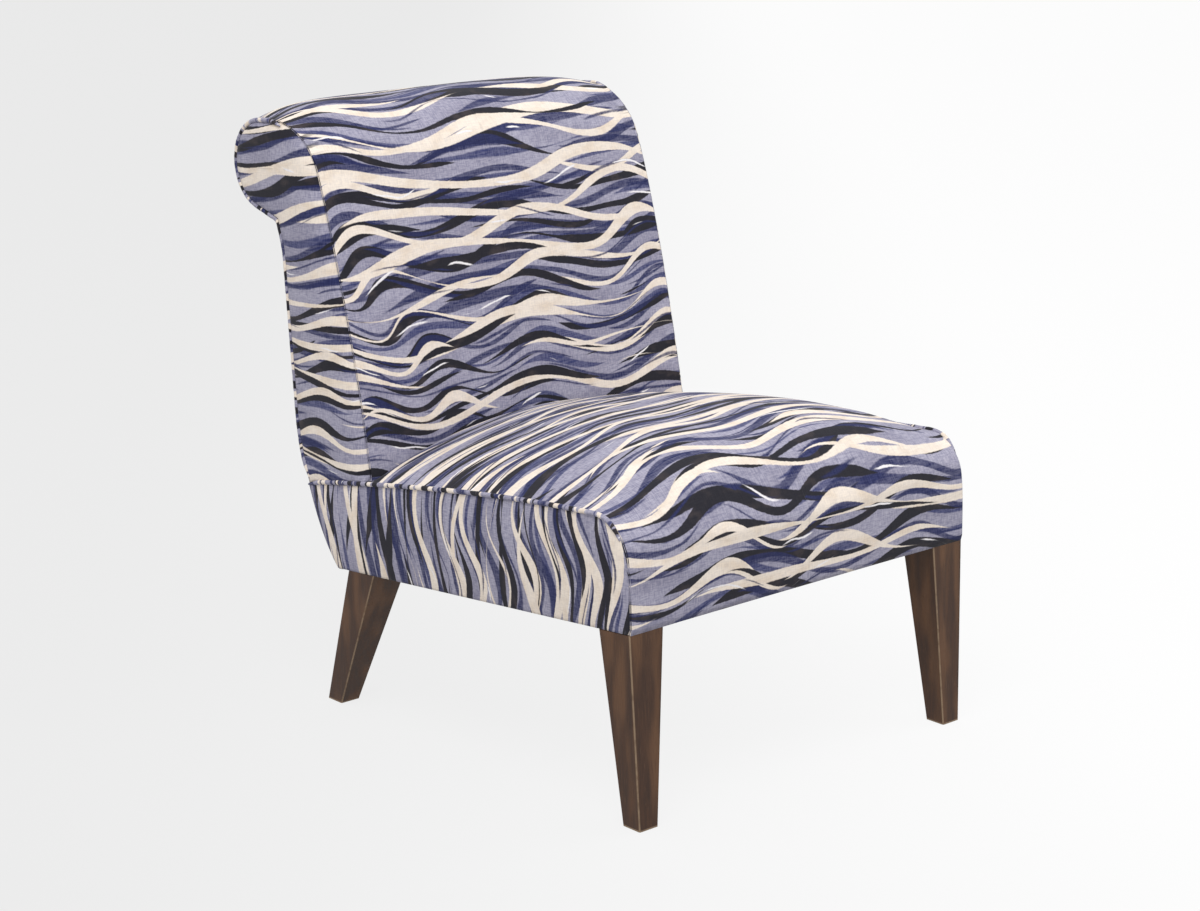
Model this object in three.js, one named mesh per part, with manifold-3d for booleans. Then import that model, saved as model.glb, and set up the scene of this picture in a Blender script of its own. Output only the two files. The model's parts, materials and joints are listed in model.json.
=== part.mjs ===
// Armless upholstered slipper chair with a rolled back, in millimetres, +Z up, facing -Y.
// Left and right are as seen from in front. The origin is on the floor, under the middle.
import * as THREE from "three";
import { mergeVertices } from "three/addons/utils/BufferGeometryUtils.js";
import Module from "manifold-3d";

const wasm = await Module();
wasm.setup();

// The upholstered body is drawn square to its own frame: depth runs back along the underside
// from the lower front edge, height runs up from the underside, and the legs pitch it back
const bodyWidth = 600;
const frontHeight = 251; // floor to the lower front edge
const seatPitch = 5.08; // degrees
const undersideDepth = 588;

// Side outline of the seat
const seamFrontHeight = 143;
const seamArchDepth = 275;
const seamArchHeight = 149;
const seamRearReach = 53; // beyond the lower rear edge
const seamRearHeight = 112;
const frontRoundDepth = 50;
const frontRoundHeight = 52;
const rearTuckReach = 34;
const rearTuckHeight = 40;
const seatCrown = 68; // middle of the seat above its side seams
const seatFullness = 3; // how squarely the seat's crown runs out to its sides
const frontCrown = 9; // middle of the front face ahead of its corners

// Side outline of the back
const creaseSetback = 74; // ahead of the lower rear edge
const creaseHeight = 121;
const creaseRound = 12;
const tuckHeight = 95; // where both covers end in the crease
const lumbarHandle = 140;
const shoulderHandle = 100;
const shoulderLean = 22; // degrees
const browRadius = 99;
const browFlat = 22;
const backHeight = 605;
const rollRadius = 62;
const rollReach = 171; // beyond the lower rear edge
const rollEndAngle = 70; // degrees below level, where the underside of the roll runs to the neck
const neckReach = 80;
const neckDrop = 135; // below the crown of the roll
const outsideReach = 71;
const outsideTopDrop = 40; // below the neck
const outsideLowHeight = 220;
const outsideBendHeight = 165;
const backCrown = 18; // middle of the back and roll beyond the side seams
const backFullness = 2.5;

// Covers, padding and webbing
const clearance = 0.3;
const coverThickness = 2;
const weltDiameter = 5;
const lumbarPad = 40;
const rollPad = 25;
const apronPad = 7.4; // foam over the front rail
const insulatorThickness = 2;
const dustCoverThickness = 1.2;
const dustCoverInset = 5;
const strapWidth = 58;
const strapThickness = 2.4;
const strapCount = 3;
const strapFirstHeight = 165;
const strapPitch = 84;
const panelThickness = 3;

// Frame
const boardThickness = 18;
const frameLift = 3; // underside of the frame above the underside of the covers
const deckFrontHeight = 88;
const deckRearHeight = 62;
const postFootSetback = 83; // ahead of the lower rear edge
const postRearMargin = 3;
const blockWidth = 54;
const blockDepth = 54;
const blockHeight = 58;
const lowerRailHeight = 50;
const lowerRailLift = 27; // lower back rail above the deck
const neckRailHeight = 44;
const topRailDepth = 48;
const topRailDrop = 6; // top rail below the crown of the posts
const railMargin = 3; // back rails inside the edge of the posts

// Legs and their fixings
const legTop = 56;
const legFoot = 31;
const legSideSplay = 7; // foot in from the side of the body
const frontFootReach = 12; // front foot ahead of the body
const rearLegSetback = 23; // rear leg ahead of the rear lower edge
const rearFootRake = 64;
const legChamfer = 1.5;
const plateSize = 50;
const plateThickness = 2.2;
const plateCorner = 5;
const plateScrewInset = 8;
const plateScrewHole = 5;
const boltDiameter = 8;
const boltInLeg = 34;
const boltInBlock = 36;
const boltChamfer = 1.2;

// Springs
const springCount = 5;
const springInset = 71.4; // from a side rail to the middle of the outer spring
const springWire = 4;
const springSwing = 24; // reach of each loop to either side
const springLoops = 19; // half turns from clip to clip
const springArch = 18;
const springTail = 20;
const tieWire = 3;
const tieWireDrop = 9; // ends of the tie wire below the deck, at the side rails
const clipWidth = 16;
const clipSheet = 1.2;
const clipTongue = 9;
const clipHookAngle = 240; // degrees round the wire

// How finely round shapes are divided
const roundSides = 20;
const wireSides = 5;
const loopSteps = 4; // steps in half a turn of a spring
const weltSides = 6;
const holeSides = 8;
const hookSteps = 7;
const crossSteps = 12;
const frontSteps = 8;
const browSteps = 5;
const rollSteps = 10;
const seatSteps = 12;
const mergeDistance = 1e-4;
const overrun = 2; // of a bore beyond the face that it enters

const seamRearDepth = undersideDepth + seamRearReach;
const rearTuckDepth = undersideDepth + rearTuckReach;
const creaseDepth = undersideDepth - creaseSetback;
const neckDepth = undersideDepth + neckReach;
const neckHeight = backHeight - neckDrop;
const outsideDepth = undersideDepth + outsideReach;
const outsideTopHeight = neckHeight - outsideTopDrop;
const postFootDepth = undersideDepth - postFootSetback;
const halfWidth = bodyWidth / 2;
const panelInside = halfWidth - coverThickness;
const coverHalf = panelInside - clearance;
const frameHalf = coverHalf - clearance;
const boardInside = frameHalf - boardThickness;
const springSpan = 2 * (boardInside - springInset); // from the first spring to the last
const springSpacing = springSpan / (springCount - 1);
const padInset = coverThickness + clearance;
const apronDepth = padInset + apronPad + clearance;
const pitch = THREE.MathUtils.degToRad(seatPitch);
const sides = [
  { name: "left", sign: -1 },
  { name: "right", sign: 1 },
];

const paint = (color, roughness, metalness = 0) =>
  new THREE.MeshStandardMaterial({ color, roughness, metalness });
const coverFabric = paint(0x8d90b4, 0.9);
const weltFabric = paint(0x5c6391, 0.9);
const foam = paint(0xe6dcc0, 0.95);
const frameWood = paint(0xc9a877, 0.75);
const legWood = paint(0x3d2a1f, 0.45);
const springSteel = paint(0x6f7478, 0.4, 1);
const zincSteel = paint(0xa9adb0, 0.35, 1);
const webbing = paint(0x5b5a55, 0.9);
const fibreboard = paint(0x9a7b57, 0.85);
const burlap = paint(0xa58f68, 0.95);
const cambric = paint(0x1d1d1f, 0.95);

const chair = new THREE.Group();
const body = new THREE.Group();
body.position.z = frontHeight;
body.rotation.x = -pitch;
body.updateMatrix();
chair.add(body);

function place(name, geometry, material, parent = body) {
  geometry.computeVertexNormals();
  const mesh = new THREE.Mesh(geometry, material);
  mesh.name = name;
  parent.add(mesh);
  return mesh;
}

const point = (depth, height) => new THREE.Vector2(depth, height);

// Closes a row of rings into one body. Each ring turns anticlockwise as seen from the last one.
// A face of four corners is split along its shorter diagonal, so that layers fold alike.
function joinRings(rings, lid) {
  const corners = rings.flat();
  const count = rings[0].length;
  const faces = [];
  for (let ring = 0; ring < rings.length - 1; ring += 1) {
    for (let corner = 0; corner < count; corner += 1) {
      const next = (corner + 1) % count;
      const [a, b] = [ring * count + corner, ring * count + next];
      const [c, d] = [a + count, b + count];
      const rising = corners[a].distanceTo(corners[d]) < corners[b].distanceTo(corners[c]);
      faces.push(...(rising ? [a, b, d, a, d, c] : [a, b, c, b, d, c]));
    }
  }
  const last = (rings.length - 1) * count;
  for (const [a, b, c] of lid) {
    faces.push(c, b, a, last + a, last + b, last + c);
  }
  const geometry = new THREE.BufferGeometry();
  const numbers = corners.flatMap((corner) => corner.toArray());
  geometry.setAttribute("position", new THREE.Float32BufferAttribute(numbers, 3));
  geometry.setIndex(faces);
  return geometry;
}

// A body through side outlines, one at each place across the chair
function loft(places, outlineAt) {
  const outlines = places.map((place) => outlineAt(place));
  if (THREE.ShapeUtils.isClockWise(outlines[0])) outlines.forEach((outline) => outline.reverse());
  const rings = outlines.map((outline, index) =>
    outline.map((corner) => new THREE.Vector3(places[index], corner.x, corner.y)),
  );
  return joinRings(rings, THREE.ShapeUtils.triangulateShape(outlines[0], []));
}

// A tube of few sides along a list of points
function tube(points, radius, sideCount) {
  const direction = points.map((_, index) => {
    const before = points[Math.max(index - 1, 0)];
    const after = points[Math.min(index + 1, points.length - 1)];
    return after.clone().sub(before).normalize();
  });
  const across = new THREE.Vector3(0, 0, 1);
  const rings = points.map((centre, index) => {
    across.addScaledVector(direction[index], -across.dot(direction[index])).normalize();
    const along = new THREE.Vector3().crossVectors(direction[index], across);
    return Array.from({ length: sideCount }, (_, side) => {
      const angle = (side / sideCount) * Math.PI * 2;
      return centre
        .clone()
        .addScaledVector(across, Math.cos(angle) * radius)
        .addScaledVector(along, Math.sin(angle) * radius);
    });
  });
  const lid = Array.from({ length: sideCount - 2 }, (_, index) => [0, index + 1, index + 2]);
  return joinRings(rings, lid);
}

// Moves each point of a line to its left, by one distance or one for each point
function shift(line, distance) {
  return line.map((corner, index) => {
    const before = line[Math.max(index - 1, 0)];
    const after = line[Math.min(index + 1, line.length - 1)];
    const along = after.clone().sub(before).normalize();
    const reach = typeof distance === "function" ? distance(index / (line.length - 1)) : distance;
    return point(corner.x - along.y * reach, corner.y + along.x * reach);
  });
}

// A smooth curve through a table of [place, value] shares
function curveThrough(shares) {
  const places = shares.map(([place]) => place);
  const values = shares.map(([, value]) => value);
  const curve = new THREE.CubicInterpolant(places, values, 1);
  return (at) => curve.evaluate(THREE.MathUtils.clamp(at, 0, 1))[0];
}

const arc = (centre, radiusDepth, radiusHeight, from, to, steps) =>
  new THREE.EllipseCurve(centre.x, centre.y, radiusDepth, radiusHeight, from, to, true)
    .getPoints(steps);

// Side outline of the seat, from the lower front edge over the top to the crease
const seamCurve = new THREE.QuadraticBezierCurve(
  point(frontRoundDepth, seamFrontHeight),
  point(seamArchDepth, seamArchHeight),
  point(seamRearDepth, seamRearHeight),
);
const seamLine = seamCurve.getPoints(seatSteps);
const frontRound = arc(
  point(frontRoundDepth, seamFrontHeight - frontRoundHeight),
  frontRoundDepth,
  frontRoundHeight,
  Math.PI,
  Math.PI / 2,
  browSteps,
);
const seatFront = [point(0, clearance), ...frontRound];
const seatEnd = creaseDepth - clearance;
const seatTop = seamLine.filter(
  (corner) => corner.x > frontRoundDepth && corner.x < seatEnd - creaseRound,
);
const creaseTurn = arc(
  point(seatEnd - creaseRound, creaseHeight - creaseRound),
  creaseRound,
  creaseRound,
  Math.PI / 2,
  0,
  2,
);
const seatLine = [...seatFront, ...seatTop, ...creaseTurn, point(seatEnd, tuckHeight)];

// Side outline of the back, from the crease up the front, over the roll and in to the neck
const rollCentre = point(undersideDepth + rollReach - rollRadius, backHeight - rollRadius);
const browCentre = point(rollCentre.x - browFlat, backHeight - browRadius);
const lean = THREE.MathUtils.degToRad(shoulderLean);
const shoulder = point(
  browCentre.x - browRadius * Math.cos(lean),
  browCentre.y + browRadius * Math.sin(lean),
);
const frontCurve = new THREE.CubicBezierCurve(
  point(creaseDepth, creaseHeight),
  point(creaseDepth, creaseHeight + lumbarHandle),
  point(
    shoulder.x - shoulderHandle * Math.sin(lean),
    shoulder.y - shoulderHandle * Math.cos(lean),
  ),
  shoulder,
);
const rollEnd = -THREE.MathUtils.degToRad(rollEndAngle);
const frontLine = frontCurve.getPoints(frontSteps);
const browLine = arc(browCentre, browRadius, browRadius, Math.PI - lean, Math.PI / 2, browSteps);
const rollLine = arc(rollCentre, rollRadius, rollRadius, Math.PI / 2, rollEnd, rollSteps);
const neck = point(neckDepth, neckHeight);
const backLine = [
  point(creaseDepth, tuckHeight),
  ...frontLine,
  ...browLine.slice(1),
  ...rollLine,
  rollLine.at(-1).clone().lerp(neck, 0.5),
  neck,
];

// Side outline of the rear, from the neck down to the lower rear edge
const outsideBend = new THREE.QuadraticBezierCurve(
  point(outsideDepth, outsideLowHeight),
  point(outsideDepth, outsideBendHeight),
  point(seamRearDepth, seamRearHeight),
);
const rearTuck = new THREE.QuadraticBezierCurve(
  point(seamRearDepth, seamRearHeight),
  point(rearTuckDepth, rearTuckHeight),
  point(undersideDepth, clearance),
);
const bendLine = outsideBend.getPoints(browSteps);
const tuckLine = rearTuck.getPoints(browSteps);
const neckStart = point(neckDepth - padInset, neckHeight - padInset);
const rearLine = [
  neckStart,
  point(outsideDepth, outsideTopHeight),
  ...bendLine,
  ...tuckLine.slice(1),
];

const deckAt = (depth) =>
  THREE.MathUtils.mapLinear(depth, 0, undersideDepth, deckFrontHeight, deckRearHeight);

// Places across the seat, with one at each edge of the springs and of the side rails
const springReach = springSpan / 2 + springSwing + springWire;
const seatPlaceShares = [0.36, 0.7];
function seatPlaces(half) {
  const middle = seatPlaceShares.map((share) => share * springReach);
  const places = [...middle, springReach, (springReach + boardInside) / 2, boardInside, half];
  return [...places.map((x) => -x).reverse(), 0, ...places];
}

// Places across the back, closer together towards both sides
function across(half) {
  return Array.from({ length: crossSteps + 1 }, (_, index) => {
    const turn = (index / crossSteps - 0.5) * Math.PI;
    return half * Math.sin(turn);
  });
}

// Swell of the seat's top by its depth, and of its front by its height
const seatRiseShares = [
  [0, 0],
  [0.03, 0.25],
  [0.1, 0.6],
  [0.2, 0.86],
  [0.35, 0.96],
  [0.6, 1],
  [0.8, 0.97],
  [0.9, 0.85],
  [1, 0.68],
];
const frontSwellShares = [[0, 0.3], [0.45, 1], [1, 0.1]];
const seatRise = curveThrough(seatRiseShares);
const frontSwell = curveThrough(frontSwellShares);
const seatDome = (x) => 1 - Math.abs(x / halfWidth) ** seatFullness;

// Swell of the back along its side outline
const backSwellShares = [[0, 0], [0.1, 0.01], [0.32, 0.7], [0.5, 1], [0.85, 1], [1, 0]];
const backSwell = curveThrough(backSwellShares);
const backDome = (x) => Math.sqrt(1 - Math.min(Math.abs(x) / halfWidth, 1) ** backFullness);
function seatSkin(x, inset) {
  return shift(seatLine, -inset).map((corner, index) => {
    const { x: depth, y: height } = seatLine[index];
    if (index === seatLine.length - 1) return corner;
    const rise = seatCrown * seatRise(depth / creaseDepth);
    const onFront = depth < frontRoundDepth;
    const swell = onFront ? frontCrown * frontSwell(height / seamFrontHeight) : 0;
    return point(corner.x - swell * seatDome(x), corner.y + rise * seatDome(x));
  });
}
const backSkin = (x, inset) =>
  shift(backLine, (at) => backCrown * backDome(x) * backSwell(at) - inset);

// The layers behind the back's padding, deep at the lumbar and thinner round the roll
const [deepPadShare, thinPadShare] = [0.34, 0.5];
const padDepthAt = (at) => {
  const thinning = THREE.MathUtils.smoothstep(at, deepPadShare, thinPadShare);
  return THREE.MathUtils.lerp(lumbarPad, rollPad, thinning);
};
const layer = (extra) => shift(backLine, (at) => -(padInset + padDepthAt(at) + extra));
const postFront = clearance + panelThickness + clearance;

// Holes and joins, made on solids
function solid(geometry) {
  const plain = new THREE.BufferGeometry();
  plain.setAttribute("position", geometry.getAttribute("position").clone());
  plain.setIndex(geometry.index);
  const merged = mergeVertices(plain, mergeDistance);
  const vertProperties = new Float32Array(merged.getAttribute("position").array);
  const triVerts = new Uint32Array(merged.index.array);
  return new wasm.Manifold(new wasm.Mesh({ numProp: 3, vertProperties, triVerts }));
}

function cut(geometry, ...tools) {
  let result = solid(geometry);
  for (const tool of tools) result = result.subtract(solid(tool));
  const mesh = result.getMesh();
  const made = new THREE.BufferGeometry();
  made.setAttribute("position", new THREE.Float32BufferAttribute(mesh.vertProperties, 3));
  made.setIndex(Array.from(mesh.triVerts));
  return made;
}

// Seat rails, with the deck's slope along their tops
function box(lowX, highX, lowDepth, highDepth, low, high) {
  const outline = () => [
    point(lowDepth, low),
    point(highDepth, low),
    point(highDepth, high),
    point(lowDepth, high),
  ];
  return loft([lowX, highX], outline);
}

const rearRailDepth = undersideDepth - coverThickness - clearance - boardThickness;
const blockReach = boardInside - clearance;
const blockInner = blockReach - blockWidth;

function addSeatRails() {
  const frontRailHalf = blockInner - clearance;
  const frontTop = deckAt(apronDepth + boardThickness);
  const frontRail = box(
    -frontRailHalf,
    frontRailHalf,
    apronDepth,
    apronDepth + boardThickness,
    frameLift,
    frontTop,
  );
  place("front_rail", frontRail, frameWood);
  const rearRail = box(
    -blockReach,
    blockReach,
    rearRailDepth,
    rearRailDepth + boardThickness,
    frameLift,
    deckRearHeight,
  );
  place("rear_rail", rearRail, frameWood);
  const railEnd = postFootDepth - clearance;
  const sideOutline = () => [
    point(apronDepth, frameLift),
    point(railEnd, frameLift),
    point(railEnd, deckAt(railEnd)),
    point(apronDepth, deckAt(apronDepth)),
  ];
  for (const { name, sign } of sides) {
    const places = [sign * boardInside, sign * frameHalf].sort((a, b) => a - b);
    place(`side_rail_${name}`, loft(places, sideOutline), frameWood);
  }
}

// Posts sawn from board, with the roll's outline at the top and a foot at the seat
function addPosts() {
  const upper = layer(postFront).filter((corner) => corner.y > deckRearHeight);
  const rear = shift(rearLine, -(coverThickness + clearance + postRearMargin / 2))
    .filter((corner) => corner.y > frameLift && corner.y < neckHeight - postRearMargin);
  const footFront = upper[0].x;
  const outline = () => [
    point(postFootDepth, frameLift),
    point(postFootDepth, deckAt(postFootDepth)),
    point(footFront, deckAt(postFootDepth)),
    ...upper.map((corner) => corner.clone()),
    ...rear.map((corner) => corner.clone()),
    point(undersideDepth - padInset - postRearMargin, frameLift),
  ];
  for (const { name, sign } of sides) {
    const places = [sign * boardInside, sign * frameHalf].sort((a, b) => a - b);
    place(`back_post_${name}`, loft(places, outline), frameWood);
  }
}

function addBackRails() {
  const front = layer(postFront);
  const lowDepth = front[0].x + railMargin;
  const lowHeight = deckRearHeight + lowerRailLift;
  const lowerRail = box(
    -blockReach,
    blockReach,
    lowDepth,
    lowDepth + boardThickness,
    lowHeight,
    lowHeight + lowerRailHeight,
  );
  place("back_lower_rail", lowerRail, frameWood);
  const neckRear = outsideDepth - padInset - postRearMargin - railMargin;
  const neckRail = box(
    -blockReach,
    blockReach,
    neckRear - boardThickness,
    neckRear,
    neckHeight - neckRailHeight / 2,
    neckHeight + neckRailHeight / 2,
  );
  place("back_neck_rail", neckRail, frameWood);
  const crestTop = backHeight - padInset - rollPad - postFront - topRailDrop;
  const crestDepth = rollCentre.x - browFlat / 2;
  const topRail = box(
    -blockReach,
    blockReach,
    crestDepth - topRailDepth / 2,
    crestDepth + topRailDepth / 2,
    crestTop - boardThickness,
    crestTop,
  );
  place("back_top_rail", topRail, frameWood);
}

// Bent board over the posts, from the shoulder round the roll
function addRollPanel() {
  const first = frontSteps + 1;
  const last = backLine.length - 2;
  const outer = layer(clearance).slice(first, last);
  const inner = layer(clearance + panelThickness).slice(first, last);
  const outline = [...outer, ...inner.reverse()];
  place("roll_panel", loft([-frameHalf, frameHalf], () => [...outline]), fibreboard);
}

function addStraps() {
  const frontAt = (height) => {
    const line = layer(clearance);
    const index = line.findIndex((corner) => corner.y > height);
    const [low, high] = [line[index - 1], line[index]];
    return THREE.MathUtils.mapLinear(height, low.y, high.y, low.x, high.x);
  };
  for (let index = 0; index < strapCount; index += 1) {
    const low = strapFirstHeight + index * strapPitch;
    const line = [point(frontAt(low), low), point(frontAt(low + strapWidth), low + strapWidth)];
    const behind = shift(line, -strapThickness);
    const outline = () => [...line, ...[...behind].reverse()];
    place(`back_strap_${index + 1}`, loft([-frameHalf, frameHalf], outline), webbing);
  }
}

// Corner blocks, leg plates, hanger bolts and legs
const legPlaces = sides.flatMap(({ name, sign }) => [
  { name: `front_${name}`, sign, depth: legTop / 2, front: true },
  { name: `rear_${name}`, sign, depth: undersideDepth - rearLegSetback - legTop / 2, front: false },
]);

function upright(radius, low, high, sign, depth, sideCount) {
  const cylinder = new THREE.CylinderGeometry(radius, radius, high - low, sideCount);
  cylinder.rotateX(Math.PI / 2);
  const centre = (low + high) / 2;
  return cylinder.translate(sign * (halfWidth - legTop / 2), depth, centre);
}

function addBlocks() {
  for (const { name, sign, depth, front } of legPlaces) {
    const near = front ? apronDepth : postFootDepth;
    const places = [sign * blockInner, sign * blockReach].sort((a, b) => a - b);
    const block = box(...places, near, near + blockDepth, frameLift, frameLift + blockHeight);
    const radius = boltDiameter / 2 + clearance;
    const top = frameLift + boltInBlock + clearance;
    const bore = upright(radius, frameLift - overrun, top, sign, depth, roundSides);
    place(`corner_block_${name}`, cut(block, bore), frameWood);
  }
}

function addPlates() {
  const half = plateSize / 2;
  const cropped = half - plateCorner;
  const quarter = [[half, cropped], [cropped, half]];
  const turned = [0, 1, 2, 3].flatMap((turn) =>
    quarter.map(([x, y]) => point(x, y).rotateAround(point(0, 0), (turn * Math.PI) / 2)),
  );
  const outline = new THREE.Shape(turned);
  const addHole = (x, y, radius) => {
    const hole = new THREE.Path().absarc(x, y, radius, 0, Math.PI * 2, true);
    outline.holes.push(hole);
  };
  addHole(0, 0, boltDiameter / 2 + 2 * clearance);
  const screwPlace = half - plateScrewInset;
  for (const x of [-screwPlace, screwPlace]) {
    for (const y of [-screwPlace, screwPlace]) addHole(x, y, plateScrewHole / 2);
  }
  for (const { name, sign, depth } of legPlaces) {
    const options = { depth: plateThickness, bevelEnabled: false, curveSegments: holeSides / 2 };
    const plate = new THREE.ExtrudeGeometry(outline, options);
    plate.translate(sign * (halfWidth - legTop / 2), depth, clearance);
    place(`leg_plate_${name}`, plate, zincSteel);
  }
}

function addBolts() {
  const radius = boltDiameter / 2;
  const profile = [
    point(0, -boltInLeg),
    point(radius - boltChamfer, -boltInLeg),
    point(radius, boltChamfer - boltInLeg),
    point(radius, frameLift + boltInBlock - boltChamfer),
    point(radius - boltChamfer, frameLift + boltInBlock),
    point(0, frameLift + boltInBlock),
  ];
  for (const { name, sign, depth } of legPlaces) {
    const bolt = new THREE.LatheGeometry(profile, roundSides);
    bolt.rotateX(Math.PI / 2);
    bolt.translate(sign * (halfWidth - legTop / 2), depth, 0);
    place(`hanger_bolt_${name}`, bolt, zincSteel);
  }
}

// Four corners of a leg's section, each cut by a chamfer, anticlockwise from above
function legSection(outerX, innerX, frontY, rearY, heightAt) {
  const corners = [[innerX, frontY], [outerX, frontY], [outerX, rearY], [innerX, rearY]];
  const ordered = outerX > innerX ? corners : corners.reverse();
  return ordered.flatMap(([x, y], index) => {
    const before = ordered[(index + 3) % 4];
    const after = ordered[(index + 1) % 4];
    return [before, after].map((other) => {
      const length = Math.hypot(other[0] - x, other[1] - y);
      const share = legChamfer / length;
      const cornerX = THREE.MathUtils.lerp(x, other[0], share);
      const cornerY = THREE.MathUtils.lerp(y, other[1], share);
      return new THREE.Vector3(cornerX, cornerY, heightAt(cornerY));
    });
  });
}

function addLegs() {
  const lid = Array.from({ length: 6 }, (_, index) => [0, index + 1, index + 2]);
  for (const { name, sign, depth, front } of legPlaces) {
    const topFront = depth - legTop / 2;
    const top = legSection(
      sign * halfWidth,
      sign * (halfWidth - legTop),
      topFront,
      topFront + legTop,
      () => 0,
    ).map((corner) => corner.applyMatrix4(body.matrix));
    const rearTop = new THREE.Vector3(0, topFront + legTop, 0).applyMatrix4(body.matrix).y;
    const footFront = front ? -frontFootReach : rearTop + rearFootRake - legFoot;
    const outer = sign * (halfWidth - legSideSplay);
    const foot = legSection(
      outer,
      outer - sign * legFoot,
      footFront,
      footFront + legFoot,
      () => 0,
    );
    const bore = upright(
      boltDiameter / 2 + clearance,
      -boltInLeg - clearance,
      overrun,
      sign,
      depth,
      roundSides,
    ).applyMatrix4(body.matrix);
    const leg = cut(joinRings([foot, top], lid), bore);
    place(`leg_${name}`, leg, legWood, chair);
  }
}

// Sinuous springs from the front rail to the rear rail
const springFrontDepth = apronDepth + boardThickness / 2;
const springRearDepth = rearRailDepth + boardThickness / 2;
const springLift = clipSheet + clearance + springWire / 2;
const springHeightAt = (depth) => {
  const share = (depth - springFrontDepth) / (springRearDepth - springFrontDepth);
  return deckAt(depth) + springLift + springArch * 4 * share * (1 - share);
};

function springPoints(centre) {
  const loopPitch = (springRearDepth - springFrontDepth) / springLoops;
  const points = [];
  for (let step = 0; step <= springLoops * loopSteps; step += 1) {
    const turn = (step / loopSteps) * Math.PI;
    const x = centre - springSwing * Math.sin(turn);
    const depth = springFrontDepth + (loopPitch / Math.PI) * (turn - Math.sin(2 * turn) / 2);
    points.push(new THREE.Vector3(x, depth, springHeightAt(depth)));
  }
  const [start, end] = [points[0], points.at(-1)];
  points.unshift(start.clone().setX(centre + springTail));
  points.push(end.clone().setX(centre + springTail));
  return points;
}

// Least distance between two stretches of one wire that aren't next to each other
function leastSelfGap(points, wire) {
  let least = Infinity;
  points.forEach((here, index) => {
    for (const there of points.slice(index + loopSteps)) {
      least = Math.min(least, here.distanceTo(there) - wire);
    }
  });
  return least;
}

function addSprings() {
  for (let index = 0; index < springCount; index += 1) {
    const centre = (index - (springCount - 1) / 2) * springSpacing;
    const points = springPoints(centre);
    place(`seat_spring_${index + 1}`, tube(points, springWire / 2, wireSides), springSteel);
    if (index === 0) {
      console.log(`least gap in a seat spring ${leastSelfGap(points, springWire).toFixed(1)} mm`);
    }
    const clipX = centre + springTail / 2;
    addClip(`spring_clip_front_${index + 1}`, clipX, springFrontDepth, 1);
    addClip(`spring_clip_rear_${index + 1}`, clipX, springRearDepth, -1);
  }
}

// A sheet steel clip: a tongue on the rail, turned up and over the wire
function addClip(name, x, depth, facing) {
  const inner = springWire / 2 + clearance;
  const outer = inner + clipSheet;
  const base = deckAt(depth + boardThickness / 2) + clearance;
  const rise = springHeightAt(depth);
  const hookEnd = THREE.MathUtils.degToRad(clipHookAngle) - Math.PI / 2;
  const hook = (radius) =>
    new THREE.EllipseCurve(0, rise, radius, radius, -Math.PI / 2, hookEnd, false)
      .getPoints(hookSteps);
  const outline = [
    point(-clipTongue, rise - outer),
    ...hook(outer),
    ...hook(inner).reverse(),
    point(-clipTongue, rise - inner),
  ].map((corner) => point(depth + facing * corner.x, Math.max(corner.y, base)));
  place(name, loft([x - clipWidth / 2, x + clipWidth / 2], () => [...outline]), zincSteel);
}

function addTieWire() {
  const depth = (springFrontDepth + springRearDepth) / 2;
  const height = springHeightAt(depth) - springWire / 2 - clearance - tieWire / 2;
  const half = boardInside - 2 * clearance - tieWire / 4;
  const points = [
    new THREE.Vector3(-half, depth, deckAt(depth) - tieWireDrop),
    new THREE.Vector3(-springReach, depth, height),
    new THREE.Vector3(springReach, depth, height),
    new THREE.Vector3(half, depth, deckAt(depth) - tieWireDrop),
  ];
  place("spring_tie_wire", tube(points, tieWire / 2, weltSides), springSteel);
}

// Burlap over the springs, down to the side rails at both edges
const liftAt = (x) => 1 - THREE.MathUtils.smoothstep(Math.abs(x), springReach, boardInside);
function insulatorAt(x, depth) {
  const overSprings = springHeightAt(depth) + springWire / 2 + clipSheet + 2 * clearance;
  const onRail = deckAt(depth) + clearance;
  return THREE.MathUtils.lerp(onRail, overSprings, liftAt(x));
}
const insulatorDepths = Array.from({ length: seatSteps + 1 }, (_, index) => {
  const start = apronDepth;
  return start + ((seatEnd - padInset - start) * index) / seatSteps;
});

function addInsulator() {
  const outlineAt = (x) => {
    const low = insulatorDepths.map((depth) => point(depth, insulatorAt(x, depth)));
    const high = low.map((corner) => point(corner.x, corner.y + insulatorThickness));
    return [...low, ...high.reverse()];
  };
  place("spring_insulator", loft(seatPlaces(frameHalf), outlineAt), burlap);
}

function addSeatFoam() {
  const rest = insulatorThickness + clearance;
  const outlineAt = (x) => {
    const skin = seatSkin(x, padInset).filter((_, index) => index > 0);
    const floor = insulatorDepths.map((depth) => point(depth, insulatorAt(x, depth) + rest));
    const rearFace = skin.at(-1);
    rearFace.y = Math.max(floor.at(-1).y, tuckHeight);
    return [
      point(padInset, frameLift),
      ...skin,
      ...floor.reverse(),
      point(apronDepth - clearance, floor.at(-1).y),
      point(apronDepth - clearance, frameLift),
    ];
  };
  place("seat_foam", loft(seatPlaces(frameHalf), outlineAt), foam);
}

function addBackFoam() {
  const outlineAt = (x) => {
    const skin = backSkin(x, padInset);
    const inner = layer(0);
    return [...skin, ...inner.reverse()];
  };
  place("back_foam", loft(across(frameHalf), outlineAt), foam);
}

// Covers, as sheets with their own thickness
function sheet(skinAt) {
  return (x) => [...skinAt(x, 0), ...skinAt(x, coverThickness).reverse()];
}

function addCovers() {
  place("seat_cover", loft(seatPlaces(coverHalf), sheet(seatSkin)), coverFabric);
  place("inside_back_cover", loft(across(coverHalf), sheet(backSkin)), coverFabric);
  const rearSkin = (x, inset) => shift(rearLine, -inset);
  const outside = loft([-coverHalf, coverHalf], sheet(rearSkin));
  place("outside_back_cover", outside, coverFabric);
}

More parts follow.
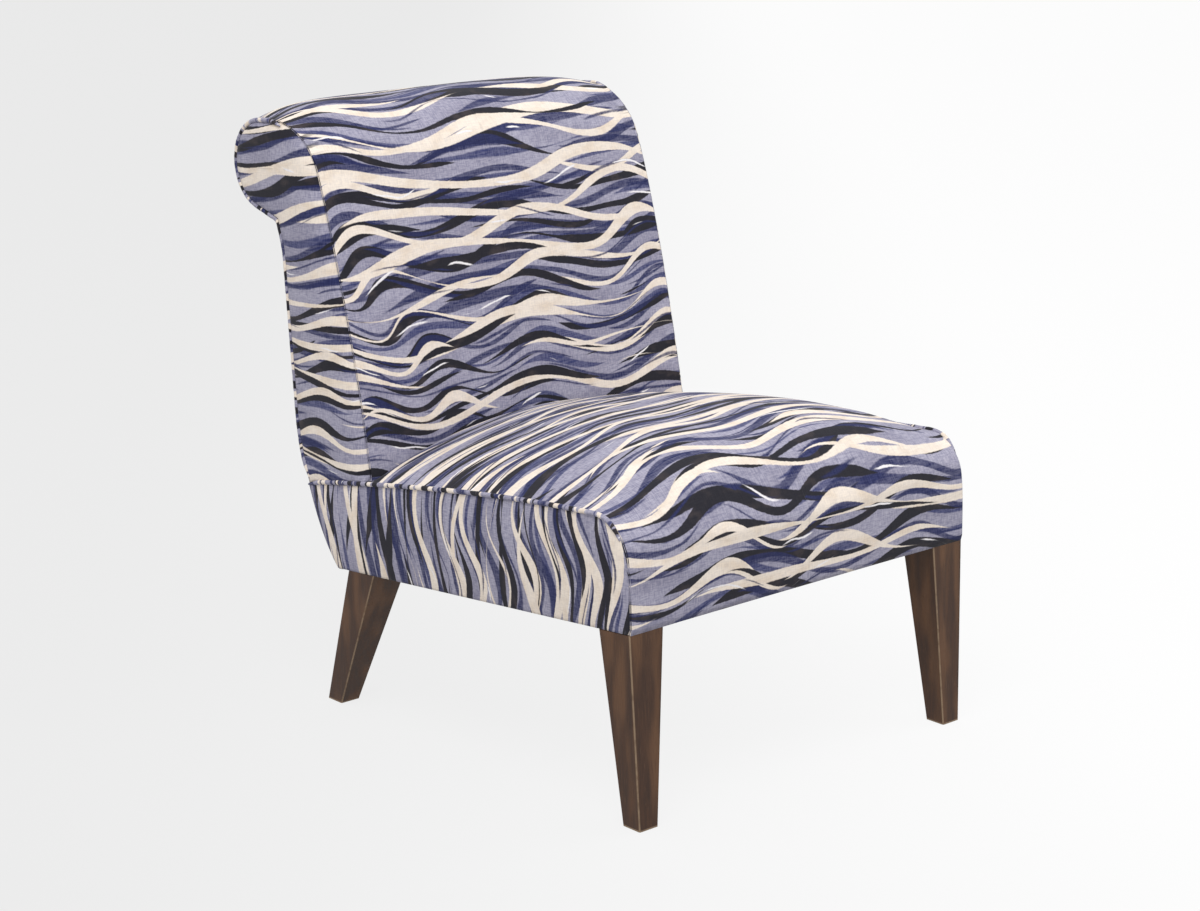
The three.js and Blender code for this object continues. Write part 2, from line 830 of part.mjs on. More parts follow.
const seatSeamEnd = seamLine.filter((corner) => corner.x > frontRoundDepth);
const seatPanel = [...seatFront, ...seatSeamEnd, ...tuckLine.slice(1)];

function seamHeightAt(depth) {
  const index = seamLine.findIndex((corner) => corner.x > depth);
  const [low, high] = [seamLine[index - 1], seamLine[index]];
  return THREE.MathUtils.mapLinear(depth, low.x, high.x, low.y, high.y);
}

// The back's side panel starts on the seat's side seam
function backPanel() {
  const lift = weltDiameter + 2 * clearance;
  const rise = frontLine.filter((corner) => corner.y > creaseHeight + lift);
  const rear = [...rearLine.slice(1, 2), ...bendLine]
    .filter((corner) => corner.y > seamRearHeight + lift);
  const start = point(creaseDepth, seamHeightAt(creaseDepth) + lift);
  const middleDepth = (creaseDepth + seamRearDepth) / 2;
  return [
    start,
    ...rise,
    ...backLine.slice(frontLine.length + 1),
    ...rear,
    point(seamRearDepth, seamRearHeight + lift),
    point(middleDepth, seamHeightAt(middleDepth) + lift),
  ];
}

function addPanels() {
  for (const { name, sign } of sides) {
    const places = [sign * panelInside, sign * halfWidth].sort((a, b) => a - b);
    place(`seat_side_panel_${name}`, loft(places, () => [...seatPanel]), coverFabric);
    place(`back_side_panel_${name}`, loft(places, () => backPanel()), coverFabric);
  }
}

// Piping just outside the edge of the side panels
function weltPoints(line, sign) {
  const beyond = weltDiameter / 2 + clearance;
  return shift(line, beyond).map(
    (corner) => new THREE.Vector3(sign * (halfWidth + clearance), corner.x, corner.y),
  );
}

function addWelts() {
  const seatSeam = [...frontRound.slice(2), ...seatSeamEnd];
  const roll = [...browLine.slice(2), ...rollLine];
  const rear = rearLine.slice(1, 2 + bendLine.length);
  const neckTurn = new THREE.QuadraticBezierCurve(rollLine.at(-1), neck, rear[0]);
  const backSeam = [...roll, ...neckTurn.getPoints(browSteps).slice(1, -1), ...rear.slice(0, -1)];
  for (const { name, sign } of sides) {
    const radius = weltDiameter / 2;
    place(`seat_welt_${name}`, tube(weltPoints(seatSeam, sign), radius, weltSides), weltFabric);
    place(`back_welt_${name}`, tube(weltPoints(backSeam, sign), radius, weltSides), weltFabric);
  }
}

// Dust cover under the frame, notched round the four leg plates
function addDustCover() {
  const notch = legTop + clearance;
  const half = coverHalf - dustCoverInset;
  const [front, rear] = [padInset + dustCoverInset, undersideDepth - padInset - dustCoverInset];
  const rearNotch = undersideDepth - rearLegSetback - legTop - clearance;
  const inner = halfWidth - notch;
  const right = [
    [inner, front],
    [inner, notch],
    [half, notch],
    [half, rearNotch],
    [inner, rearNotch],
    [inner, rear],
  ];
  const left = right.map(([x, y]) => [-x, y]).reverse();
  const outline = new THREE.Shape([...right, ...left].map(([x, y]) => new THREE.Vector2(x, y)));
  const options = { depth: dustCoverThickness, bevelEnabled: false };
  const cover = new THREE.ExtrudeGeometry(outline, options);
  cover.translate(0, 0, frameLift - clearance - dustCoverThickness);
  place("dust_cover", cover, cambric);
}

addSeatRails();
addPosts();
addBackRails();
addRollPanel();
addStraps();
addBlocks();
addPlates();
addBolts();
addLegs();
addSprings();
addTieWire();
addInsulator();
addSeatFoam();
addBackFoam();
addCovers();
addPanels();
addWelts();
addDustCover();

// Centre the chair over the origin, front to back
chair.updateMatrixWorld(true);
const outer = new THREE.Box3().setFromObject(chair, true);
chair.position.y = -(outer.min.y + outer.max.y) / 2;
chair.updateMatrixWorld(true);

export default chair;
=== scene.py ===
import json
import math
from collections import Counter

import bmesh
import bpy
import numpy as np
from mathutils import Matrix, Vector
from mathutils.geometry import delaunay_2d_cdt
from mathutils.kdtree import KDTree


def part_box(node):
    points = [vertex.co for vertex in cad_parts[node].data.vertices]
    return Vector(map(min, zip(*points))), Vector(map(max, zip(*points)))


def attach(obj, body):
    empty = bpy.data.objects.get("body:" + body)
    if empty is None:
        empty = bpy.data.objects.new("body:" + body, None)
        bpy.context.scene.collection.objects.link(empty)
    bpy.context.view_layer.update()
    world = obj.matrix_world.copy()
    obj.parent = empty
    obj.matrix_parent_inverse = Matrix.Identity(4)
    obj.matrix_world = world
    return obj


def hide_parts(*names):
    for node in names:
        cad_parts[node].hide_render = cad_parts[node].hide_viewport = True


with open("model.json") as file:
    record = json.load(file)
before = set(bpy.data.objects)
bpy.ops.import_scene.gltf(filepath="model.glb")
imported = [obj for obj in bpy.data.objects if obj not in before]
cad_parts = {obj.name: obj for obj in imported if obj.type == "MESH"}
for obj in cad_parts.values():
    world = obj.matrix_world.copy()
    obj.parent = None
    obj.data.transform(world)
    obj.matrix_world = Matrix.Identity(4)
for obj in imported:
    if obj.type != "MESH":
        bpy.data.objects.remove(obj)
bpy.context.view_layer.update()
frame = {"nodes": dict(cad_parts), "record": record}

mm = 0.001

# The chair's body lies square to its own frame: depth and height in mm, pitched back on its legs
bodyPitch = math.radians(5.08)
bodyFrame = {
    "cosine": math.cos(bodyPitch), "sine": math.sin(bodyPitch), "frontHeight": 251.0, "footReach": 12.0,
}
bodyFrame["shift"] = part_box("leg_front_left")[0][1] / mm + bodyFrame["footReach"]


def toWorld(x, depth, height):
    y = depth * bodyFrame["cosine"] + height * bodyFrame["sine"] + bodyFrame["shift"]
    z = bodyFrame["frontHeight"] - depth * bodyFrame["sine"] + height * bodyFrame["cosine"]
    return np.stack(np.broadcast_arrays(x, y, z), -1) * mm


def bodyHeight(points):
    y = points[:, 1] / mm - bodyFrame["shift"]
    z = points[:, 2] / mm - bodyFrame["frontHeight"]
    return y * bodyFrame["sine"] + z * bodyFrame["cosine"]


# Node graphs

def arithmetic(operation, swap=False):
    def join(self, other):
        first, second = (other, self) if swap else (self, other)
        return self.graph.math(operation, first, second)

    return join


class Socket:
    def __init__(self, graph, socket):
        self.graph = graph
        self.socket = socket

    # Another output of the same node
    def other(self, name):
        return Socket(self.graph, self.socket.node.outputs[name])

    __add__ = arithmetic("ADD")
    __radd__ = arithmetic("ADD", True)
    __sub__ = arithmetic("SUBTRACT")
    __rsub__ = arithmetic("SUBTRACT", True)
    __mul__ = arithmetic("MULTIPLY")
    __rmul__ = arithmetic("MULTIPLY", True)
    __truediv__ = arithmetic("DIVIDE")


class Graph:
    def __init__(self, tree):
        self.nodes = tree.nodes
        self.links = tree.links

    def node(self, kind, inputs=None, output=0, **settings):
        made = self.nodes.new(kind)
        for name, value in settings.items():
            setattr(made, name, value)
        for name, value in (inputs or {}).items():
            if isinstance(value, Socket):
                self.links.new(value.socket, made.inputs[name])
            else:
                made.inputs[name].default_value = value
        return Socket(self, made.outputs[output]) if made.outputs else None

    def math(self, operation, *values):
        return self.node("ShaderNodeMath", dict(enumerate(values)), operation=operation)

    # A value, where it runs from and to, and what that becomes: 0 to 1 unless given
    def ramp(self, *values):
        return self.node("ShaderNodeMapRange", dict(enumerate(values)), interpolation_type="SMOOTHSTEP")

    # A mix node's sockets 6 and 7 are its two colours, and output 2 is the mixed one
    def mix(self, factor, first, second, blend="MIX"):
        inputs = {0: factor, 6: first, 7: second}
        return self.node("ShaderNodeMix", inputs, 2, data_type="RGBA", blend_type=blend)

    def vector(self, *axes):
        return self.node("ShaderNodeCombineXYZ", dict(enumerate(axes)))

    def split(self, vector):
        made = self.node("ShaderNodeSeparateXYZ", {0: vector})
        return [made.other(axis) for axis in "XYZ"]

    def place(self):
        return self.node("ShaderNodeTexCoord", output="Object")

    def noise(self, vector, detail=0.0, roughness=0.5, scale=1.0):
        inputs = {"Vector": vector, "Scale": scale, "Detail": detail, "Roughness": roughness}
        return self.node("ShaderNodeTexNoise", inputs)


# A node group with float inputs: its tree, its graph, its entry and the inputs' identifiers
def newGroup(name, kind, inputs):
    tree = bpy.data.node_groups.new(name, kind)
    made = [tree.interface.new_socket(key, in_out="INPUT", socket_type="NodeSocketFloat") for key in inputs]
    graph = Graph(tree)
    return tree, graph, graph.node("NodeGroupInput"), {socket.name: socket.identifier for socket in made}


def srgb(*levels):
    shares = [level / 255 for level in levels]
    linear = (share / 12.92 if share <= 0.04045 else ((share + 0.055) / 1.055) ** 2.4 for share in shares)
    return (*linear, 1.0)


# A new material, or a world, with an empty graph
def newLook(name, kind="materials"):
    made = getattr(bpy.data, kind).new(name)
    made.use_nodes = True
    graph = Graph(made.node_tree)
    graph.nodes.clear()
    return made, graph


def surface(graph, color, roughness, height, bump, distance, **constants):
    relief = graph.node("ShaderNodeBump", {"Height": height, "Strength": bump, "Distance": distance})
    inputs = {"Base Color": color, "Roughness": roughness, "Normal": relief}
    inputs.update({name.replace("_", " "): value for name, value in constants.items()})
    shader = graph.node("ShaderNodeBsdfPrincipled", inputs)
    graph.node("ShaderNodeOutputMaterial", {"Surface": shader})


# Printed linen: families of wavy ribbons, laid over each other on a plain ground
printColors = {
    "ground": srgb(163, 160, 179),
    "groundDeep": srgb(144, 141, 161),
    "blue": srgb(59, 64, 108),
    "navy": srgb(40, 45, 88),
    "black": srgb(35, 34, 42),
    "blackWarm": srgb(58, 52, 55),
    "cream": srgb(237, 225, 213),
    "creamDeep": srgb(227, 211, 194),
    "pale": srgb(240, 236, 238),
}

# From the lowest layer to the highest: the ink, the share of the second wave in the bends, and the
# inputs below, in metres but for the amount, which is how much of each row is inked
familyInputs = ("Pitch", "Width", "Length", "Drift", "Amount")
ribbonFamilies = (
    ("blue", 0.5, 0.028, 0.0115, 0.20, 0.022, 0.66),
    ("navy", 0.2, 0.034, 0.0135, 0.21, 0.022, 0.80),
    ("black", 0.9, 0.040, 0.0150, 0.18, 0.028, 0.80),
    ("navy", 1.0, 0.042, 0.0125, 0.19, 0.024, 0.70),
    ("cream", 0.1, 0.052, 0.0160, 0.34, 0.019, 0.90),
    ("black", 0.3, 0.045, 0.0125, 0.18, 0.028, 0.72),
    ("cream", 0.9, 0.060, 0.0132, 0.27, 0.029, 0.82),
    ("navy", 0.4, 0.050, 0.0040, 0.12, 0.031, 0.60),
    ("pale", 0.5, 0.055, 0.0030, 0.07, 0.031, 0.36),
)
ribbonInputs = ("U", "V", "Bend", "Crest", "Drift", "Pitch", "Width", "Length", "Amount", "Soft", "Seed")
ribbonLook = {
    "strayReach": 0.205, "strayRise": 0.9, "strayDetail": 0.4, "bare": 0.62, "inked": 0.80,
    "amountReach": 0.3, "offCentre": 0.3, "wander": 0.45, "atTrough": 0.5, "lightest": 0.5,
    "pressReach": 1.1, "vanishing": (0.0002, 0.0009),
}
# Steps through the noises that keep rows and families apart
strides = {"stray": 3.1, "family": 7.13, "row": 17.0, "start": 37.0}
# Noises along a row: stretch, step from row to row, offset and detail
rowNoises = {"swell": (1.0, 1.7, 0.0, 0.6), "wander": (1.3, 2.3, 2.0, 0.5), "press": (2.1, 3.1, 4.0, 0.5)}


def makeRibbonTree():
    tree, graph, entry, _ = newGroup("ribbons", "ShaderNodeTree", ribbonInputs)
    tree.interface.new_socket("Cover", in_out="OUTPUT", socket_type="NodeSocketFloat")
    u, v, bend, crest, drift, pitch, width, length, amount, soft, seed = map(entry.other, ribbonInputs)
    look = ribbonLook
    reach = look["strayReach"]
    place = graph.vector(u / reach, v / reach * look["strayRise"], seed * strides["stray"])
    stray = graph.noise(place, look["strayDetail"])
    row = (v + bend + (stray - 0.5) * 2 * drift) / pitch + seed * strides["family"]
    number = graph.math("FLOOR", row)
    rowSeed = number + seed * strides["row"]
    own = graph.node("ShaderNodeTexWhiteNoise", {"W": rowSeed}, noise_dimensions="1D")
    along = u / length + own * strides["start"]
    swell, wander, press = (
        graph.noise(graph.vector(along * stretch, number * step, seed + offset), detail)
        for stretch, step, offset, detail in rowNoises.values()
    )
    inking = amount * look["amountReach"]
    body = graph.ramp(swell, look["bare"] - inking, look["inked"] - inking)
    centre = 0.5 + (own - 0.5) * look["offCentre"] + (wander - 0.5) * look["wander"]
    crested = look["atTrough"] + (1 - look["atTrough"]) * crest
    half = width * 0.5 * body * crested * (look["lightest"] + look["pressReach"] * press)
    away = graph.math("ABSOLUTE", row - number - centre) * pitch
    cover = graph.ramp((half - away) / soft, -1.0, 1.0) * graph.ramp(half, *look["vanishing"])
    graph.node("NodeGroupOutput", {"Cover": cover})
    return tree


ribbonTree = makeRibbonTree()


# The two waves that bend the ribbons: length and height in metres, and seed
waveLooks = ((0.28, 0.017, 3.3), (0.21, 0.012, 21.7))
waveShape = {
    "slow": (0.45, 0.55), "sway": 2.2, "lift": (3.3, 3.6), "liftSeed": 5.0, "low": 0.35, "rise": 1.3,
}

# The corner attribute "cloth" holds the place on the cut cloth, in metres, and the panel's number
panelNumbers = {
    "seatTop": 0.0, "insideBack": 1.0, "seatSides": (3.0, 4.0), "backSides": (5.0, 6.0),
    "outsideBack": 8.0, "welts": (11.0, 12.0),
}
# Noises on the cut cloth: spots a metre across and up, offset, detail and roughness
clothNoises = {
    "ragged": (170, 420, 0, 2.0, 0.5),
    "washed": (9, 26, 0, 3.0, 0.5),
    "brush": (26, 330, 9, 2.0, 0.5),
    "tint": (30, 60, 3, 2.0, 0.5),
    "weft": (90, 600, 0, 2.0, 0.6),
    "warp": (600, 90, 4, 2.0, 0.6),
}
printLook = {
    "panelShift": (1.37, 0.37), "ragged": 0.0017, "washed": (0.35, 0.7), "blackTint": (0.5, 0.72),
    "creamTint": (0.4, 0.75), "dry": (0.36, 0.58, 1.0, 0.78), "brushEdge": 0.0010, "thickEdge": 0.0006,
    "filled": 0.7, "brushed": ("blue", "navy"),
}
# The weave: contrast is how much darker and lighter the threads are, in red, green and blue
threadLook = {
    "span": (0.36, 0.64), "contrast": ((0.27, 0.23), (0.26, 0.23), (0.20, 0.17)),
    "roughness": (0.3, 0.7, 0.95, 0.82), "height": 0.25, "bump": 0.8, "distance": 0.001,
}
# The shadow colour is painted shade, laid along the seams and in the pleats' folds
seamLook = {
    "pitch": 70.0, "reach": 0.028, "height": 1.6, "groove": 0.0016, "grooveCore": 0.3, "depth": 0.8,
    "dark": 0.2, "rollStart": (0.72, 0.77), "pleatPitch": 150.0, "pleatReach": (0.002, 0.03),
    "pleatShadeSpan": (0.36, 0.5), "pleatShade": 0.75, "shadow": srgb(34, 33, 38),
}


# Bends and crests of one wave at a place on the cloth
def waveAt(graph, u, v, length, height, seed):
    across, up = u / length, v / length
    slowAcross, slowUp = waveShape["slow"]
    slow = graph.noise(graph.vector(across * slowAcross, up * slowUp, seed))
    swing = graph.math("SINE", (across + slow * waveShape["sway"]) * 2 * math.pi)
    liftAcross, liftUp = waveShape["lift"]
    lift = graph.noise(graph.vector(u * liftAcross, v * liftUp, seed + waveShape["liftSeed"]))
    bend = swing * height * (waveShape["low"] + lift * waveShape["rise"])
    return bend, 0.5 - swing * 0.5


def clothMaterial(name):
    made, graph = newLook(name)
    place = graph.node("ShaderNodeAttribute", {}, "Vector", attribute_name="cloth")
    u, v, panel = graph.split(place)
    ragged, washed, brush, tint, weft, warp = (
        graph.noise(graph.vector(u * across, v * up, panel + offset), detail, roughness)
        for across, up, offset, detail, roughness in clothNoises.values()
    )
    shiftU, shiftV = printLook["panelShift"]
    printU = u + panel * shiftU
    printV = v + panel * shiftV + (ragged - 0.5) * printLook["ragged"]
    (bendA, crestA), (bendB, crestB) = (waveAt(graph, printU, printV, *wave) for wave in waveLooks)
    threads = (weft + warp) * 0.5
    worn = [graph.ramp(threads, *threadLook["span"], 1 - dark, 1 + light)
            for dark, light in threadLook["contrast"]]
    weave = graph.node("ShaderNodeCombineColor", dict(enumerate(worn)))
    dry = graph.ramp(brush * 0.5 + threads * 0.5, *printLook["dry"])
    ink = dict(printColors)
    for key, deeper in (("black", "blackWarm"), ("cream", "creamDeep")):
        ink[key] = graph.mix(graph.ramp(tint, *printLook[key + "Tint"]), ink[key], ink[deeper])
    color = graph.mix(graph.ramp(washed, *printLook["washed"]), ink["ground"], ink["groundDeep"])
    even = 0.0
    for index, (inkName, mixed, *values) in enumerate(ribbonFamilies):
        family = dict(zip(familyInputs, values))
        brushed = inkName in printLook["brushed"]
        family.update(
            U=printU, V=printV, Bend=bendA * (1 - mixed) + bendB * mixed,
            Crest=crestA * (1 - mixed) + crestB * mixed,
            Soft=printLook["brushEdge" if brushed else "thickEdge"], Seed=1.0 + index,
        )
        cover = graph.node("ShaderNodeGroup", family, "Cover", node_tree=ribbonTree)
        color = graph.mix(cover * dry if brushed else cover, color, ink[inkName])
        # The thick inks fill the weave, the thin washes let it show
        even = even * (1 - cover) if brushed else graph.math("MAXIMUM", cover, even)
    color = graph.mix(1.0 - even * printLook["filled"], color, weave, "MULTIPLY")
    # Puckers and a groove along the seams, with painted shade in the groove and in the pleats' folds
    look = seamLook
    seam = graph.node("ShaderNodeAttribute", {}, "Vector", attribute_name="seam")
    gap = graph.node("ShaderNodeVectorMath", {0: graph.place(), 1: seam}, "Value", operation="DISTANCE")
    nearSeam = graph.ramp(gap, 0.0, look["reach"], 1.0, 0.0)
    gathers = graph.noise(seam, 1.0, scale=look["pitch"]) * nearSeam
    # The inside back's cover is pleated more closely at the roll's ends
    onBack = graph.math("COMPARE", panel, panelNumbers["insideBack"], 0.1)
    atRoll = graph.ramp(graph.split(seam)[2], *look["rollStart"]) * onBack
    nearRoll = atRoll * graph.ramp(gap, *look["pleatReach"], 1.0, 0.0)
    pleats = graph.noise(seam, scale=look["pleatPitch"])
    gathers = gathers + pleats * nearRoll
    # Painted shade in the folds between the pleats at the roll's ends
    foldShade = graph.ramp(pleats, *look["pleatShadeSpan"], 1.0, 0.0) * nearRoll
    color = graph.mix(foldShade * look["pleatShade"], color, look["shadow"])
    edge = look["groove"]
    groove = graph.ramp(gap, edge * look["grooveCore"], edge, 1.0, 0.0)
    # Painted shade: a dark line along each seam, over the groove's dent
    color = graph.mix(groove * look["dark"], color, look["shadow"])
    roughness = graph.ramp(threads, *threadLook["roughness"])
    height = threads * threadLook["height"] + gathers * look["height"] - groove * look["depth"]
    surface(graph, color, roughness, height, threadLook["bump"], threadLook["distance"],
            Sheen_Weight=0.08, Sheen_Roughness=0.5, Specular_IOR_Level=0.2)
    return made


# Meshes

def addObject(name, data):
    made = bpy.data.objects.new(name, data)
    bpy.context.scene.collection.objects.link(made)
    return made


def makePiece(name, points, faces, cloth, panels, material, weld=2e-5):
    keys = np.round(points / weld).astype(np.int64)
    _, first, number = np.unique(keys, axis=0, return_index=True, return_inverse=True)
    number = number.ravel()
    kept, corners, owners = [], [], []
    for face, owner in zip(faces, panels):
        joined = [int(number[corner]) for corner in face]
        once = [at for at, corner in enumerate(joined) if corner != joined[at - 1]]
        if len({joined[at] for at in once}) > 2:
            kept.append([joined[at] for at in once])
            corners.extend(face[at] for at in once)
            owners.append(owner)
    mesh = bpy.data.meshes.new(name)
    mesh.from_pydata(points[first].tolist(), [], kept)
    layer = mesh.attributes.new("cloth", "FLOAT_VECTOR", "CORNER")
    layer.data.foreach_set("vector", cloth[corners].astype(np.float32).ravel())
    mesh.shade_smooth()
    # An edge between two panels is a seam
    edgeOwners = {}
    for owner, face in zip(owners, kept):
        for at, corner in enumerate(face):
            edgeOwners.setdefault(frozenset((corner, face[at - 1])), set()).add(owner)
    for edge in mesh.edges:
        edge.use_edge_sharp = len(edgeOwners.get(frozenset(edge.vertices), ())) > 1
    mesh.materials.append(material)
    return addObject(name, mesh)


def gridFaces(rows, columns):
    corners = [row * columns + column for row in range(rows - 1) for column in range(columns - 1)]
    return [[corner, corner + 1, corner + columns + 1, corner + columns] for corner in corners]


# A cover in the making: the points of its panels, their places on the cut cloth, and their faces
class Cover:
    def __init__(self):
        self.points, self.cloth, self.faces, self.panels = [], [], [], []
        self.count = 0

    def add(self, panel, points, cloth, faces, flip=False):
        for face in faces:
            self.faces.append([self.count + corner for corner in (face[::-1] if flip else face)])
        self.panels += [panel] * len(faces)
        self.points.append(points)
        self.cloth.append(cloth)
        self.count += len(points)

    # Adds a panel of columns, each with its x, its side outline and its place on the cloth
    def addColumns(self, number, columns, flip=False):
        points = [toWorld(x, outline[:, 0], outline[:, 1]) for x, outline, _, _ in columns]
        cloth = [np.stack(np.broadcast_arrays(across, along, number), -1) for _, _, across, along in columns]
        faces = gridFaces(len(points), len(points[0]))
        self.add(number, np.vstack(points), np.vstack(cloth), faces, flip)

    # Adds a flat panel on one side of the chair
    def addSide(self, number, sign, out, flat, across, along, faces):
        cloth = np.stack(np.broadcast_arrays(across * mm, along * mm, number), -1)
        self.add(number, toWorld(sign * out, flat[:, 0], flat[:, 1]), cloth, faces, flip=sign < 0)

    def piece(self, name, material):
        points, cloth = np.vstack(self.points), np.vstack(self.cloth)
        return makePiece(name, points, self.faces, cloth, self.panels, material)


def applyModifiers(piece):
    graph = bpy.context.evaluated_depsgraph_get()
    mesh = bpy.data.meshes.new_from_object(piece.evaluated_get(graph), depsgraph=graph)
    piece.modifiers.clear()
    old = piece.data
    piece.data = mesh
    bpy.data.meshes.remove(old)
    return piece


def vertexValues(mesh, name):
    values = np.empty(len(mesh.vertices) * 3)
    mesh.vertices.foreach_get(name, values)
    return values.reshape(-1, 3)


# Cloth simulation: the padding presses the sewn cover outwards, and its seams stay where they are
settling = {
    "frames": 20, "cap": 3.2, "hem": 3.0, "cloth": {
        "mass": 0.3, "tension_stiffness": 18.0, "compression_stiffness": 18.0,
        "bending_stiffness": 0.7, "use_pressure": True, "uniform_pressure_force": 4.0,
    },
}


def settle(piece):
    mesh = piece.data
    start = vertexValues(mesh, "co")
    uses = Counter(key for face in mesh.polygons for key in face.edge_keys)
    sewn = {corner for key, count in uses.items() if count == 1 for corner in key}
    sewn |= {corner for edge in mesh.edges if edge.use_edge_sharp for corner in edge.vertices}
    sewn |= set(np.nonzero(bodyHeight(start) < settling["hem"])[0].tolist())
    group = piece.vertex_groups.new(name="sewn")
    group.add(sorted(sewn), 1.0, "REPLACE")
    cloth = piece.modifiers.new("settling", "CLOTH")
    for name, value in settling["cloth"].items():
        setattr(cloth.settings, name, value)
    cloth.settings.vertex_group_mass = group.name
    cloth.settings.effector_weights.gravity = 0
    cloth.point_cache.frame_end = settling["frames"]
    for step in range(1, settling["frames"] + 1):
        bpy.context.scene.frame_set(step)
    held = piece.evaluated_get(bpy.context.evaluated_depsgraph_get())
    moved = vertexValues(held.data, "co") - start
    facing = vertexValues(mesh, "normal")
    # The padding behind lets no part of the cover sink in
    moved -= facing * np.minimum((moved * facing).sum(1), 0)[:, None]
    piece.modifiers.remove(cloth)
    piece.vertex_groups.clear()
    bpy.context.scene.frame_set(1)
    length = np.linalg.norm(moved, axis=1)[:, None]
    cap = settling["cap"] * mm
    kept = np.where(length > 0, cap * (1 - np.exp(-length / cap)) / np.maximum(length, 1e-12), 0)
    mesh.vertices.foreach_set("co", (start + moved * kept).ravel())
    mesh.update()
    most = round(float((length * kept).max()) / mm, 1)
    print("settled", piece.name, len(start), "points,", most, "mm at most")
    return piece


# Gives each vertex the nearest point of a seam between two panels, for the puckers beside it
def markSeams(piece, marksPerEdge=8):
    mesh = piece.data
    steps = np.linspace(0, 1, marksPerEdge, endpoint=False)
    marks = []
    for edge in mesh.edges:
        if edge.use_edge_sharp:
            first, second = (mesh.vertices[corner].co for corner in edge.vertices)
            marks += [first.lerp(second, step) for step in steps]
    tree = KDTree(len(marks))
    for index, mark in enumerate(marks):
        tree.insert(mark, index)
    tree.balance()
    nearest = [tree.find(vertex.co)[0] for vertex in mesh.vertices]
    layer = mesh.attributes.new("seam", "FLOAT_VECTOR", "POINT")
    layer.data.foreach_set("vector", np.array(nearest, np.float32).ravel())
    return piece


def thicken(piece):
    solidify = piece.modifiers.new("thickness", "SOLIDIFY")
    solidify.thickness = sewing["thickness"] * mm
    solidify.offset = -1.0
    solidify.use_even_offset = False
    return applyModifiers(piece)


def arcLength(line):
    return np.r_[0, np.cumsum(np.linalg.norm(np.diff(line, axis=0), axis=1))]


# Joins lines or points into one line of even steps
def resample(*parts, spacing=6.5):
    line = np.vstack(parts).astype(float)
    steps = np.linalg.norm(np.diff(line, axis=0), axis=1)
    line = line[np.r_[True, steps > 1e-6]]
    lengths = arcLength(line)
    places = np.linspace(0, lengths[-1], max(2, round(lengths[-1] / spacing) + 1))
    return np.stack([np.interp(places, lengths, line[:, axis]) for axis in range(line.shape[1])], -1)


# How far a value is on its way from start to end, held between 0 and 1
def between(value, start, end):
    return np.clip((value - start) / (end - start), 0, 1)


def bezier(*controls, steps=40):
    at = np.linspace(0, 1, steps + 1)[:, None]
    degree = len(controls) - 1
    return sum(
        math.comb(degree, index) * at**index * (1 - at) ** (degree - index) * np.array(control, float)
        for index, control in enumerate(controls)
    )


def arc(centre, radii, start, end, steps):
    angles = np.radians(np.linspace(start, end, steps + 1))
    return np.stack([centre[0] + radii[0] * np.cos(angles), centre[1] + radii[1] * np.sin(angles)], -1)


# A smooth curve through rows of places, from 0 to 1, and values
def easedTable(rows, width=0.08):
    at = np.linspace(-0.5, 1.5, 2001)
    places, values = zip(*rows)
    window = np.hanning(int(width * 1000) + 2)[1:-1]
    # The ends are mirrored about their own values, so that they stay where the table puts them
    low = 2 * values[0] - np.interp(-at, places, values)
    high = 2 * values[-1] - np.interp(2 - at, places, values)
    flat = np.where(at < 0, low, np.where(at > 1, high, np.interp(at, places, values)))
    smooth = np.convolve(flat, window / window.sum(), mode="same")
    return lambda place: np.interp(np.clip(place, 0, 1), at, smooth)


def insidePolygon(points, outline):
    x, y = points[:, 0], points[:, 1]
    inside = np.zeros(len(points), bool)
    for (ax, ay), (bx, by) in zip(outline, np.roll(outline, -1, axis=0)):
        crosses = (ay > y) != (by > y)
        with np.errstate(divide="ignore", invalid="ignore"):
            inside ^= crosses & (x < (bx - ax) * (y - ay) / (by - ay) + ax)
    return inside


# Each point's distance to a closed outline, and the place of the nearest point on it
def distanceTo(points, outline):
    ends = np.roll(outline, -1, axis=0)
    span = ends - outline
    share = np.einsum("psk,sk->ps", points[:, None] - outline[None], span) / (span**2).sum(1)
    share = np.clip(share, 0, 1)
    nearest = outline[None] + share[..., None] * span[None]
    gaps = np.linalg.norm(points[:, None] - nearest, axis=2)
    best = gaps.argmin(1)
    rows = np.arange(len(points))
    return gaps[rows, best], best + share[rows, best]


# Fills the outline that its parts make: points, triangles, and each point's distance and place
def fillOutline(*parts, spacing=9.0, shoulder=3.5):
    outline = np.vstack(parts)
    low, high = outline.min(0), outline.max(0)
    across, up = (np.arange(low[axis], high[axis], spacing) for axis in (0, 1))
    grid = np.stack(np.meshgrid(across, up), -1).reshape(-1, 2)
    gaps, _ = distanceTo(grid, outline)
    grid = grid[insidePolygon(grid, outline) & (gaps > shoulder + spacing * 0.5)]
    # A ring just inside the border carries the padded shoulder
    ring = outline + sideways(np.roll(outline, -1, axis=0) - np.roll(outline, 1, axis=0)) * shoulder
    if insidePolygon(ring, outline).mean() <= 0.5:
        ring = 2 * outline - ring
    gaps, _ = distanceTo(ring, outline)
    ring = ring[insidePolygon(ring, outline) & (gaps > shoulder * 0.9)]
    points = np.vstack([outline, ring, grid])
    count = len(outline)
    edges = [(index, (index + 1) % count) for index in range(count)]
    made = delaunay_2d_cdt([Vector(point) for point in points], edges, [], 1, 1e-4)
    order = [group[0] for group in made[3]]
    faces = [[order[corner] for corner in face] for face in made[2]]
    middles = np.array([points[face].mean(0) for face in faces])
    keep = insidePolygon(middles, outline)
    return points, [face for face, good in zip(faces, keep) if good], *distanceTo(points, outline)


# A panel's columns from -1 to 1, closer together towards its sides
def columnsAcross(piece):
    turn = np.linspace(-1, 1, piece["columns"])
    return np.sign(turn) * (1 - (1 - np.abs(turn)) ** piece["columnPower"])


def unit(rows):
    return rows / np.linalg.norm(rows, axis=1)[:, None]


